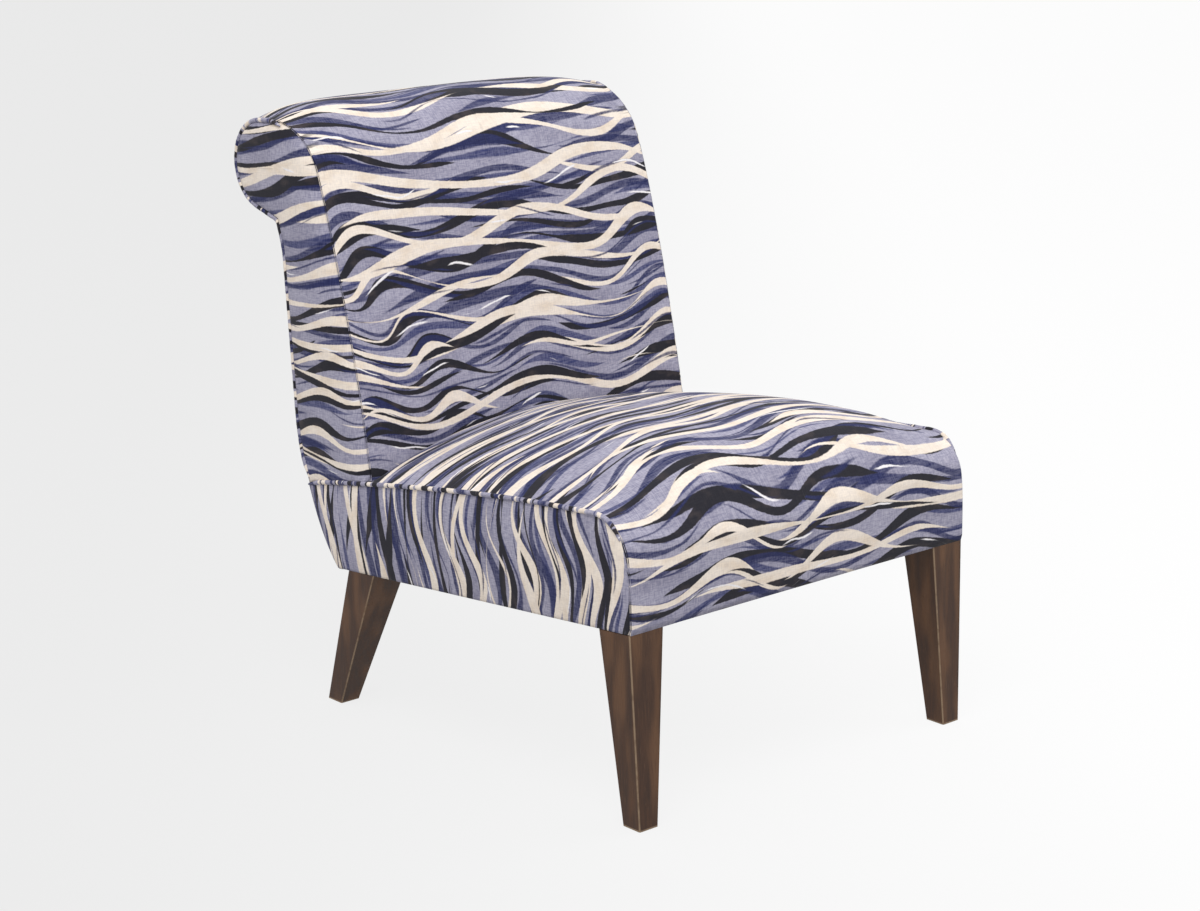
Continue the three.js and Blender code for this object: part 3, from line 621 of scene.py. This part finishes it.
def sideways(along):
    along = unit(along)
    return np.stack([-along[:, 1], along[:, 0]], -1)


# Moves each point of a line square to it
def pushOut(line, reach):
    return line + sideways(np.gradient(line, axis=0)) * reach[:, None]


# Covers: lengths and side outlines in mm
sewing = {"thickness": 2.0, "hem": 7.0, "hemLift": 0.5, "edgeGap": 0.3}

# The rear of the chair from the neck down, and how much wider its panels are towards the seat's seam
rear = {
    "depth": 659.0, "top": 430.0, "low": 220.0, "bend": 165.0, "seam": (641, 112), "tuck": (622, 40),
    "foot": (588, 0.3), "widening": 2.7,
}
rearBend = bezier((rear["depth"], rear["low"]), (rear["depth"], rear["bend"]), rear["seam"])
rearLine = np.vstack([[(rear["depth"], rear["top"])], rearBend])
rearTuck = bezier(rear["seam"], rear["tuck"], rear["foot"])[1:]


def widening(height):
    return rear["widening"] * between(height, rear["low"], rear["seam"][1])


seat = {
    "half": 300.0, "columns": 75, "columnPower": 1.35, "crease": 513.7, "creaseTurn": 14.0,
    "tuck": 95.0, "tail": 25.0, "tailStart": 500.0, "crown": 68.0, "fullness": 3.0,
    "rearFullness": 2.0, "rearReach": (250.0, 500.0), "frontCrown": 4.0, "frontBelly": 5.0,
    "hemHeight": 0.9, "hemFade": 2.0, "curl": 2.6, "curlLift": 0.4, "sideCrown": 4.0, "sideReach": 16.0,
    "seamStep": 5.0,
    "seam": ((50, 143), (275, 149), (641, 112)), "round": ((50, 91), (50, 52)),
    "rise": easedTable((
        (0, 0), (0.03, 0.25), (0.1, 0.6), (0.2, 0.86), (0.35, 0.96), (0.6, 1), (0.8, 1), (0.9, 0.94),
        (1, 0.86),
    ), 0.09),
    "belly": easedTable(((0, 0.25), (0.3, 0.8), (0.5, 1), (0.7, 0.7), (1, 0)), 0.2),
}
seamLine = bezier(*seat["seam"], steps=80)
seamStart, seamTop = seat["seam"][0]


def seatLine():
    curl, turn, (centre, radii) = seat["curl"], seat["creaseTurn"], seat["round"]
    hem = (sewing["hem"] + sewing["edgeGap"], seat["hemHeight"])
    corner = arc((curl + sewing["edgeGap"], curl + seat["curlLift"]), (curl, curl), 270, 180, 4)
    front = arc(centre, radii, 180, 90, 20)
    top = seamLine[(seamLine[:, 0] > seamStart) & (seamLine[:, 0] < seat["crease"] - turn)]
    down = arc((seat["crease"] - turn, top[-1, 1] - turn), (turn, turn), 90, 0, 6)
    rise = (0, centre[1] - 1e-3)
    return resample(hem, corner, rise, front, top, down, (seat["crease"], seat["tuck"]))


def seatSkin(x, line):
    depth, height = line[:, 0], line[:, 1]
    towardsRear = between(depth, *seat["rearReach"])
    fullness = seat["fullness"] + (seat["rearFullness"] - seat["fullness"]) * towardsRear
    dome = 1 - np.abs(x / seat["half"]) ** fullness
    rise = seat["crown"] * seat["rise"](depth / seat["crease"])
    swell = between(depth, seamStart, 0) * seat["belly"](height / seamTop)
    aboveHem = between(height, seat["hemHeight"], seat["hemHeight"] + seat["hemFade"])
    push = swell * (seat["frontBelly"] + seat["frontCrown"] * dome) * aboveHem
    tail = between(height, seat["tuck"], seat["tuck"] + seat["tail"])
    return np.stack([depth - push, height + rise * dome * np.where(depth > seat["tailStart"], tail, 1)], -1)


def makeSeat(material):
    cover = Cover()
    line = seatLine()
    places = columnsAcross(seat) * seat["half"]
    lengths = arcLength(line)
    columns = [(x, seatSkin(x, line), x * mm, lengths * mm) for x in places]
    cover.addColumns(panelNumbers["seatTop"], columns)
    edge = seatSkin(seat["half"], line)
    edge = edge[: np.argmax(line[:, 0] > seat["crease"] - seat["creaseTurn"] - 0.5)]
    rest = resample(edge[-1], seamLine[seamLine[:, 0] > edge[-1, 0] + seat["seamStep"]])[1:]
    tuckLine = resample(rear["seam"], rearTuck)[1:]
    under = resample(tuckLine[-1], edge[0])[1:-1]
    flat, triangles, gaps, _ = fillOutline(edge, rest, tuckLine, under)
    bulge = seat["sideCrown"] * (1 - np.exp(-gaps / seat["sideReach"]))
    # The cloth turns under the side rail, as far as the dust cover
    fold = np.vstack([tuckLine[-1], under, edge[0]])
    for sign, number in zip((-1, 1), panelNumbers["seatSides"]):
        cover.addSide(number, sign, seat["half"] + bulge, flat, flat[:, 1], flat[:, 0] * sign, triangles)
        columns = [
            (sign * (seat["half"] - inset), fold + [0, lift], -inset * mm, fold[:, 0] * mm * sign)
            for inset, lift in ((0, 0), (sewing["hem"], sewing["hemLift"]))
        ]
        cover.addColumns(number, columns, flip=sign < 0)
    return cover.piece("seatUpholstery", material)


back = {
    "crown": 23.0, "fullness": (7.0, 4.5), "columns": 81, "columnPower": 1.7, "panelHalf": 298.2,
    "panelCrown": 1.0, "panelReach": 30.0, "shoulder": ((289, 293), (8, 1.2)), "outerHalf": 295.5,
    "crease": (514, 121), "tuck": 95.0, "brow": ((675, 506), 95.5), "roll": ((697, 543), 58.5),
    "neck": (668, 470), "rollEnd": -70.0, "browStart": 22.0, "bow": 12.0, "handle": 140.0,
    "browHandle": 100.0, "seamGap": 1.5, "clothGap": 0.4, "gatherReach": 35.0,
    "swell": easedTable(((0, 0), (0.1, 0.01), (0.32, 0.7), (0.5, 1), (0.85, 1), (1, 0)), 0.12),
    "halfAt": easedTable((
        (0, 289), (0.05, 288), (0.12, 286), (0.3, 286), (0.4, 287), (0.55, 293), (1, 294),
    )),
    # The right seam is drawn in a little further, at the crease and at the roll's end
    "drawIn": easedTable((
        (0, 4), (0.08, 3), (0.18, 0), (0.28, 0), (0.36, 5), (0.44, 7), (0.54, 7), (0.62, 4), (0.72, 0),
        (1, 0),
    )),
    # The roll's ends are gathered: more cloth to each millimetre of the seam there
    "gather": easedTable(((0, 0), (0.3, 0), (0.45, -24), (0.61, 24), (0.8, 0), (1, 0))),
}


# The back's side outline with, for each point, its share of the way from crease to neck
def backLine():
    (browCentre, browRadius), (rollCentre, rollRadius) = back["brow"], back["roll"]
    turn = math.radians(back["browStart"])
    frontEnd = np.array(browCentre) + browRadius * np.array([-math.cos(turn), math.sin(turn)])
    depth, height = back["crease"]
    low = (depth + back["bow"], height + back["handle"])
    high = frontEnd - np.array([math.sin(turn), math.cos(turn)]) * back["browHandle"] + [back["bow"], 0]
    front = bezier(back["crease"], low, high, frontEnd, steps=60)
    brow = arc(browCentre, (browRadius, browRadius), 180 - back["browStart"], 90, 20)[1:]
    roll = arc(rollCentre, (rollRadius, rollRadius), 90, back["rollEnd"], 48)
    neck = bezier(roll[-1], (roll[-1] + np.array(back["neck"])) / 2, back["neck"], steps=8)[1:]
    # Where each part starts and ends on the way, in units that the last part's end makes shares of
    tuck = [[depth, back["tuck"]]]
    parts = ((tuck, 0, 0), (front, 1, 9), (brow, 9.5, 14), (roll, 15, 25), (neck, 25.5, 27))
    line = np.vstack([part for part, _, _ in parts])
    share = np.concatenate([np.linspace(start, end, len(part)) for part, start, end in parts])
    share /= parts[-1][2]
    joined = resample(np.column_stack([line, share * 1e-6]))
    return joined[:, :2], joined[:, 2] * 1e6


def makeBack(material):
    cover = Cover()
    line, share = backLine()
    half, drawn = back["halfAt"](share), back["drawIn"](share)
    lengths = arcLength(line)
    columns = []
    for turn in columnsAcross(back):
        dome = 1 - abs(turn) ** back["fullness"][int(turn > 0)]
        skin = pushOut(line, back["crown"] * dome * back["swell"](share))
        inward = (1 - abs(turn)) * half
        gathered = lengths + back["gather"](share) * np.exp(-inward / back["gatherReach"])
        x = turn * (half - drawn * max(turn, 0) ** 2)
        columns.append((x, skin, x * mm, gathered * mm + back["clothGap"]))
    cover.addColumns(panelNumbers["insideBack"], columns)
    crease = back["crease"][0]
    seamHeight = np.interp(crease, seamLine[:, 0], seamLine[:, 1])
    first = int(np.argmax(line[:, 1] > seamHeight + back["seamGap"]))
    edge = line[first:]
    rise = resample(edge[-1], rearLine)[1:]
    bottom = seamLine[(seamLine[:, 0] > crease) & (seamLine[:, 0] < rear["seam"][0])][::-1]
    bottom = resample(rise[-1], bottom + [0, back["seamGap"]], edge[0])[1:-1]
    flat, triangles, gaps, where = fillOutline(edge, rise, bottom)
    gaps[: len(edge) + len(rise) + len(bottom)] = 0
    level = back["panelHalf"] + back["panelCrown"] * (1 - np.exp(-gaps / back["panelReach"]))
    for sign, number in zip((-1, 1), panelNumbers["backSides"]):
        border = np.concatenate([
            (half - drawn * max(sign, 0))[first:],
            back["outerHalf"] + widening(rise[:, 1]),
            np.full(len(bottom), back["panelHalf"]),
        ])
        wide = np.interp(where, np.arange(len(border) + 1), np.append(border, border[0]))
        wide[: len(border)] = border
        shoulder = np.interp(wide, *back["shoulder"])
        out = level + (wide - level) * np.exp(-gaps / shoulder)
        cover.addSide(number, sign, out, flat, flat[:, 0] * sign, flat[:, 1], triangles)
    return cover.piece("backUpholstery", material)


outside = {
    "spacing": 7.0, "columns": 61, "columnPower": 1.35, "inset": 0.6, "neckGap": 2.3, "crown": 2.4,
    "fullness": 4, "ease": 0.7,
}


def makeOutsideBack(material):
    cover = Cover()
    (neckDepth, neckHeight), (footDepth, footHeight) = back["neck"], rear["foot"]
    neckStart = (neckDepth - outside["neckGap"], neckHeight - outside["neckGap"])
    hem = (footDepth - sewing["hem"] + sewing["edgeGap"], footHeight + sewing["hemLift"])
    line = resample(neckStart, rearLine, rearTuck, hem, spacing=outside["spacing"])
    lengths = arcLength(line)
    half = back["outerHalf"] - outside["inset"] + widening(line[:, 1])
    ends = np.clip(np.sin(np.pi * lengths / lengths[-1]), 0, 1) ** outside["ease"]
    columns = []
    for share in columnsAcross(outside):
        dome = 1 - share ** outside["fullness"]
        skin = pushOut(line, outside["crown"] * dome * ends)
        columns.append((share * half, skin, share * half * mm, -lengths * mm))
    cover.addColumns(panelNumbers["outsideBack"], columns)
    return cover.piece("outsideBackPanel", material)


# Piping: a cord in bias-cut cloth, half sunk into the seam
welt = {
    "radius": 3.2, "sink": 1.5, "spacing": 3.0, "taper": 0.03, "sides": 12, "endSize": 0.35,
    "ripple": 0.03, "ripples": (520, 233), "bias": 0.3, "seatHalf": 300.6, "seatStart": 112.0,
    "seatBreak": (480.0, 486.0), "backHalf": 295.2, "backStart": 0.47, "smoothings": 6, "backEnd": -2,
}


def makeWelt(name, path, material, number):
    along = unit(np.gradient(path, axis=0))
    across = np.tile([1.0, 0, 0], (len(path), 1))
    across = unit(across - along * (across * along).sum(1)[:, None])
    third = np.cross(along, across)
    lengths = arcLength(path)
    slim = np.clip(welt["endSize"] + np.minimum(lengths, lengths[-1] - lengths) / welt["taper"], 0, 1)
    radius, count, sides = welt["radius"] * mm, len(path), welt["sides"]
    short, long = (lengths * pitch for pitch in welt["ripples"])
    phase = number - panelNumbers["welts"][0]
    points, cloth = [], []
    for side in range(sides):
        angle = 2 * math.pi * side / sides
        ripple = 1 + welt["ripple"] * np.sin(short + side) + welt["ripple"] * np.sin(long + phase)
        offset = (across * math.cos(angle) + third * math.sin(angle)) * (radius * ripple * slim)[:, None]
        points.append(path + offset)
        turn = angle * radius
        cloth.append(np.stack([turn + lengths * welt["bias"], lengths, np.full(count, number)], -1))
    faces = []
    for side in range(sides):
        first, second = side * count, (side + 1) % sides * count
        for step in range(count - 1):
            faces.append([first + step, second + step, second + step + 1, first + step + 1])
    starts = [side * count for side in range(sides)]
    faces += [starts[::-1], [start + count - 1 for start in starts]]
    return makePiece(name, np.vstack(points), faces, np.vstack(cloth), [0] * len(faces), material)


# Moves a welt's line outwards to its height over the seam, and its two ends back into the cloth
def sinkEnds(line):
    lengths = arcLength(line) * mm
    end = between(np.minimum(lengths, lengths[-1] - lengths), 0, welt["taper"])
    return pushOut(line, welt["sink"] - welt["radius"] * (1 - end))


# Each welt's side outline, and how far its left and right copies are from the middle
def seatWeltLine():
    skin = seatSkin(seat["half"], seatLine())
    end, start = welt["seatBreak"]
    skin = skin[(skin[:, 1] > welt["seatStart"]) & (skin[:, 0] < end)]
    line = resample(skin, seamLine[seamLine[:, 0] > start], spacing=welt["spacing"])
    return sinkEnds(line), welt["seatHalf"], welt["seatHalf"]


def backWeltLine():
    line, share = backLine()
    start = np.argmax(share > welt["backStart"])
    whole = resample(line[start:], rearLine, spacing=welt["spacing"])
    for _ in range(welt["smoothings"]):
        whole[1:-1] = (whole[:-2] + 2 * whole[1:-1] + whole[2:]) / 4
    reached = np.interp(arcLength(whole), arcLength(line[start:]), share[start:])
    left = welt["backHalf"] + widening(whole[:, 1])
    right = left - back["drawIn"](reached)
    end = welt["backEnd"]
    return sinkEnds(whole[:end]), left[:end], right[:end]


clothPrint = clothMaterial("printedLinen")
seatPiece = thicken(markSeams(settle(makeSeat(clothPrint))))
backPiece = thicken(markSeams(settle(makeBack(clothPrint))))
outsidePiece = thicken(settle(makeOutsideBack(clothPrint)))
print("covers", [len(piece.data.polygons) for piece in (seatPiece, backPiece, outsidePiece)])

soft = (
    (seatPiece, ("seat_cover", "seat_foam", "seat_side_panel_left", "seat_side_panel_right")),
    (backPiece, ("inside_back_cover", "back_foam", "back_side_panel_left", "back_side_panel_right")),
    (outsidePiece, ("outside_back_cover",)),
)
for piece, nodes in soft:
    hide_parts(*nodes)
    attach(piece, "root")

for name, (line, *halves) in (("seat", seatWeltLine()), ("back", backWeltLine())):
    for hand, sign, half, number in zip(("left", "right"), (-1, 1), halves, panelNumbers["welts"]):
        path = toWorld(sign * half, line[:, 0], line[:, 1])
        piece = makeWelt(f"{name}Welt.{hand}", path, clothPrint, number)
        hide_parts(f"{name}_welt_{hand}")
        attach(piece, "root")
print("welts")


# Staples that hold the dust cover, one instance every few centimetres along its hem.
# The inset, height and notch are in mm, and the notch leaves room for the legs in the corners.
staples = {
    "spacing": 0.03, "crown": 0.0102, "wire": 0.0009, "leg": 0.0016, "turn": 0.35, "seed": 7,
    "inset": 9.0, "height": 1.1, "notch": 62.0,
}


def stapleRuns():
    low, high = (np.array(corner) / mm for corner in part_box("dust_cover"))
    side = high[0] - staples["inset"]
    front = (low[1] - bodyFrame["shift"]) / bodyFrame["cosine"] + staples["inset"]
    end = (high[1] - bodyFrame["shift"]) / bodyFrame["cosine"] - staples["inset"]
    notch = staples["notch"]
    ends = (
        (notch - side, front), (side - notch, front), (side, front + notch), (side, end - notch),
        (side - notch, end), (notch - side, end), (-side, end - notch), (-side, front + notch),
    )
    return [toWorld(x, depth, staples["height"]) for x, depth in ends]


def makeStaples(material):
    mesh = bpy.data.meshes.new("dustCoverStaples")
    ends = stapleRuns()
    mesh.from_pydata(ends, [(at, at + 1) for at in range(0, len(ends), 2)], [])
    piece = addObject("dustCoverStaples", mesh)
    inputs = ("spacing", "crown", "wire", "leg", "turn")
    tree, graph, entry, identifiers = newGroup("staplesAlongEdges", "GeometryNodeTree", inputs)
    for way in ("INPUT", "OUTPUT"):
        socket = tree.interface.new_socket("Geometry", in_out=way, socket_type="NodeSocketGeometry")
        tree.interface.move(socket, 0)
    spacing, crown, wire, leg, turn = map(entry.other, inputs)
    path = graph.node("GeometryNodeMeshToCurve", {"Mesh": entry.other("Geometry")})
    marks = {"Curve": path, "Length": spacing}
    marks = graph.node("GeometryNodeCurveToPoints", marks, "Points", mode="LENGTH")
    bar = graph.node("GeometryNodeMeshCube", {"Size": graph.vector(crown, wire, wire)})
    prong = graph.node("GeometryNodeMeshCube", {"Size": graph.vector(wire, wire, leg)})
    prongs = []
    for hand in (-0.5, 0.5):
        place = graph.vector((crown - wire) * hand, 0.0, (leg - wire) * 0.5)
        prongs.append(graph.node("GeometryNodeTransform", {"Geometry": prong, "Translation": place}))
    staple = graph.nodes.new("GeometryNodeJoinGeometry")
    for part in (bar, *prongs):
        graph.links.new(part.socket, staple.inputs[0])
    # Inputs 2, 3 and 8 of a random float are its least, its most and its seed
    span = {2: turn * -1, 3: turn, 8: staples["seed"]}
    tilt = graph.node("FunctionNodeRandomValue", span, 1, data_type="FLOAT")
    tangent = {"Vector": marks.other("Tangent")}
    along = graph.node("FunctionNodeAlignRotationToVector", tangent, axis="X", pivot_axis="Z")
    tilted = graph.node("FunctionNodeEulerToRotation", {0: graph.vector(0.0, 0.0, tilt)})
    turned = graph.node("FunctionNodeRotateRotation", {0: along, 1: tilted}, rotation_space="LOCAL")
    instances = {"Points": marks, "Instance": Socket(graph, staple.outputs[0]), "Rotation": turned}
    placed = graph.node("GeometryNodeInstanceOnPoints", instances)
    real = graph.node("GeometryNodeRealizeInstances", {"Geometry": placed})
    finished = graph.node("GeometryNodeSetMaterial", {"Geometry": real, "Material": material})
    graph.node("NodeGroupOutput", {"Geometry": finished})
    modifier = piece.modifiers.new("staples", "NODES")
    modifier.node_group = tree
    for name, identifier in identifiers.items():
        modifier[identifier] = staples[name]
    return applyModifiers(piece)


# Wood and the pieces kept from the frame
# The palest colour is a painted highlight for the legs' edges and feet
legColors = {
    "dark": srgb(58, 39, 29), "light": srgb(76, 52, 38), "cloudAndSheen": srgb(102, 72, 50),
    "pore": srgb(40, 27, 20), "fleck": srgb(128, 96, 70), "worn": srgb(158, 136, 112),
}
# Noises in the wood: spots a metre across and along the leg, detail and roughness
legNoises = {
    "bend": (14, 3, 2.0, 0.5), "pores": (900, 34, 2.0, 0.6), "cloudAndSheen": (44, 9, 1.0, 0.5),
    "patchNoise": (60, 90, 3.0, 0.5),
}
legLook = {
    "bendReach": 9, "grain": (190, 7, 4.0, 0.6), "cloudAndSheen": (0.4, 0.68, 0.0, 0.85),
    "pore": (0.34, 0.46, 0.3, 0.0), "fleck": (0.62, 0.72, 0.0, 0.22), "arrisHighlight": (0.25, 0.4),
    "foot": (0.0014, 0.0026, 1.0, 0.0), "patchSpan": (0.25, 0.55, 0.45, 1.0), "highlightShare": 0.7,
    "roughness": (0.2, 0.8, 0.36, 0.55), "bump": 0.12, "distance": 0.0006,
}


def legMaterial():
    made, graph = newLook("espressoWood")
    look = legLook
    x, y, z = graph.split(graph.place())
    bend, pores, cloudAndSheen, patchNoise = (
        graph.noise(graph.vector(x * across, y * across, z * along), detail, roughness)
        for across, along, detail, roughness in legNoises.values()
    )
    bend = (bend - 0.5) * look["bendReach"]
    across, along, detail, roughness = look["grain"]
    grain = graph.noise(graph.vector(x * across + bend, y * across + bend, z * along), detail, roughness)
    color = graph.mix(graph.ramp(grain, 0.25, 0.75), legColors["dark"], legColors["light"])
    # The lighter cloudy patches are the wood's figure and a painted satin sheen as well
    for value, key in ((cloudAndSheen, "cloudAndSheen"), (pores, "pore"), (pores, "fleck")):
        color = graph.mix(graph.ramp(value, *look[key]), color, legColors[key])
    # Painted highlights on the narrow chamfers, whose faces look along no axis, and round the foot, broken
    # into patches by a noise
    normalX, normalY, _ = graph.split(graph.node("ShaderNodeNewGeometry", output="True Normal"))
    arrisHighlight = graph.ramp(graph.math("ABSOLUTE", normalX * normalY), *look["arrisHighlight"])
    foot = graph.ramp(z, *look["foot"])
    worn = graph.math("MAXIMUM", arrisHighlight, foot) * graph.ramp(patchNoise, *look["patchSpan"])
    # Painted highlight: the pale colour laid on those edges and the foot
    color = graph.mix(worn * look["highlightShare"], color, legColors["worn"])
    roughness = graph.ramp(grain, *look["roughness"])
    surface(graph, color, roughness, grain * 0.6 + pores * 0.4, look["bump"], look["distance"],
            Coat_Weight=0.05, Coat_Roughness=0.3, Specular_IOR_Level=0.2)
    return made


# Slots with a plain grain: material name, dark and light, spots a metre, roughness, and where they
# differ metallic, bump and threads
plainLooks = {
    "frame_wood": ("frameWood", (186, 150, 102), (220, 190, 142), (12, 90, 90), 0.7),
    "spring_steel": ("springSteel", (96, 98, 102), (140, 142, 146), (300, 300, 300), 0.38, 1.0, 0.1),
    "zinc_steel": ("zincSteel", (158, 162, 168), (196, 200, 204), (120, 120, 120), 0.34, 1.0, 0.1),
    "webbing": ("webbing", (60, 58, 54), (112, 108, 100), (400, 900, 900), 0.85, 0.0, 0.6, 2400.0),
    "fibreboard": ("fibreboard", (132, 106, 76), (170, 142, 106), (60, 200, 200), 0.85),
    "burlap": ("burlap", (128, 104, 70), (186, 160, 116), (200, 200, 200), 0.9, 0.0, 0.7, 1600.0),
    "cambric": ("cambric", (22, 22, 24), (48, 48, 52), (700, 700, 700), 0.9, 0.0, 0.4, 3000.0),
    "foam": ("foam", (214, 200, 160), (236, 226, 194), (500, 500, 500), 0.95),
}


def plainMaterial(name, dark, light, stretch, roughness, metallic=0.0, bump=0.3, weave=0.0):
    made, graph = newLook(name)
    x, y, z = (axis * factor for axis, factor in zip(graph.split(graph.place()), stretch))
    grain = graph.noise(graph.vector(x, y, z), 4.0, 0.6)
    height = grain
    if weave:
        threads = [graph.math("SINE", axis * (weave / factor)) for axis, factor in zip((x, y), stretch)]
        height = grain * 0.5 + graph.math("ABSOLUTE", threads[0] * threads[1]) * 0.5
    color = graph.mix(graph.ramp(height, 0.25, 0.75), srgb(*dark), srgb(*light))
    uneven = graph.ramp(grain, 0.2, 0.8, roughness + 0.08, roughness - 0.08)
    surface(graph, color, uneven, height, bump, 0.0008, Metallic=metallic)
    return made


looks = {slot: plainMaterial(*look) for slot, look in plainLooks.items()}
looks.update(leg_wood=legMaterial(), cover_fabric=clothPrint, welt_fabric=clothPrint)
staplePiece = makeStaples(looks["zinc_steel"])
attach(staplePiece, "root")
print("staples", len(staplePiece.data.polygons))

slotOf = {entry["node"]: entry["material_slot"] for entry in frame["record"]["subparts"]}
for name, node in frame["nodes"].items():
    node.data.materials.clear()
    node.data.materials.append(looks[slotOf[name]])
print("frame materials")


# Stage, light and camera
# Left and right are the ends of the floor's painted light falloff, and near darkens its near side as painted
# shade
stageLook = {
    "size": 24.0, "segments": 96, "fade": (11.0, 23.0), "drop": 0.0006, "backdrop": srgb(246, 246, 246),
    "left": srgb(240, 240, 240), "right": srgb(260, 260, 260), "reach": 0.95, "near": (0.1, 1.3, 0.97),
    "shade": 0.11, "worldLight": 0.78, "floorGrey": 0.5,
}
# Each lamp's name, place, size and energy
lampLooks = (("keyLight", (-1.95, -1.6, 4.5), 2.8, 108), ("fillLight", (2.6, -1.6, 2.6), 2.4, 24))
lampAim = (0, 0, 0.4)
view = {
    "place": (-2.3942, -2.7026, 1.3152), "down": 15.13, "turn": 41.72, "lens": 82.24, "sensor": 36.0,
    "clipEnd": 100.0,
}


def seenDirectly(graph):
    rays = graph.node("ShaderNodeLightPath")
    seen = rays.other("Is Camera Ray")
    for kind in ("Is Glossy Ray", "Is Transmission Ray"):
        seen = graph.math("MAXIMUM", seen, rays.other(kind))
    return seen


def makeFloor():
    mesh = bpy.data.meshes.new("studioFloor")
    form = bmesh.new()
    bmesh.ops.create_circle(form, cap_ends=True, segments=stageLook["segments"], radius=stageLook["size"])
    form.to_mesh(mesh)
    form.free()
    floor = addObject("studioFloor", mesh)
    floor.location.z = -stageLook["drop"]
    made, graph = newLook("paleFloor")
    x, y, _ = graph.split(graph.place())
    turn, reach = math.radians(view["turn"]), stageLook["reach"]
    # The floor's glow is painted light: brighter to one side, as a lamp's falloff would make it
    # From left to right in the photograph
    across = graph.ramp(x * math.cos(turn) - y * math.sin(turn), -reach, reach)
    color = graph.mix(across, stageLook["left"], stageLook["right"])
    # Painted shade: the floor's glow a little darker on its near side
    start, end, dim = stageLook["near"]
    nearShade = graph.ramp((x * math.sin(turn) + y * math.cos(turn)) * -1, start, end)
    color = graph.mix(nearShade, color, graph.mix(1.0, color, (dim, dim, dim, 1), "MULTIPLY"))
    # Far out the floor turns into the backdrop, so that no view shows a horizon
    far = graph.ramp(graph.math("SQRT", x * x + y * y), *stageLook["fade"])
    color = graph.mix(far, color, stageLook["backdrop"])
    plain = graph.node("ShaderNodeEmission", {"Color": color, "Strength": 1.0})
    lit = graph.node("ShaderNodeBsdfDiffuse", {"Color": (stageLook["floorGrey"],) * 3 + (1,)})
    factor = seenDirectly(graph) * (1 - (1 - far) * stageLook["shade"])
    mixed = graph.node("ShaderNodeMixShader", {0: factor, 1: lit, 2: plain})
    graph.node("ShaderNodeOutputMaterial", {"Surface": mixed})
    mesh.materials.append(made)


def makeWorld():
    bpy.context.scene.world, graph = newLook("studio", "worlds")
    light = graph.node("ShaderNodeBackground", {"Color": (1, 1, 1, 1), "Strength": stageLook["worldLight"]})
    shown = graph.node("ShaderNodeBackground", {"Color": stageLook["backdrop"], "Strength": 1.0})
    mixed = graph.node("ShaderNodeMixShader", {0: seenDirectly(graph), 1: light, 2: shown})
    graph.node("ShaderNodeOutputWorld", {"Surface": mixed})


def makeLamp(name, place, size, energy):
    lamp = bpy.data.lights.new(name, "AREA")
    lamp.shape = "DISK"
    lamp.size = size
    lamp.energy = energy
    holder = addObject(name, lamp)
    holder.location = place
    towards = Vector(lampAim) - Vector(place)
    holder.rotation_euler = towards.to_track_quat("-Z", "Y").to_euler()


def makeCamera():
    lens = bpy.data.cameras.new("view")
    lens.lens = view["lens"]
    lens.sensor_width = view["sensor"]
    lens.clip_end = view["clipEnd"]
    camera = addObject("view", lens)
    camera.location = view["place"]
    camera.rotation_euler = (math.radians(90 - view["down"]), 0, -math.radians(view["turn"]))
    bpy.context.scene.camera = camera


makeFloor()
makeWorld()
for look in lampLooks:
    makeLamp(*look)
makeCamera()
bpy.context.scene.view_settings.view_transform = "Standard"
print("stage")
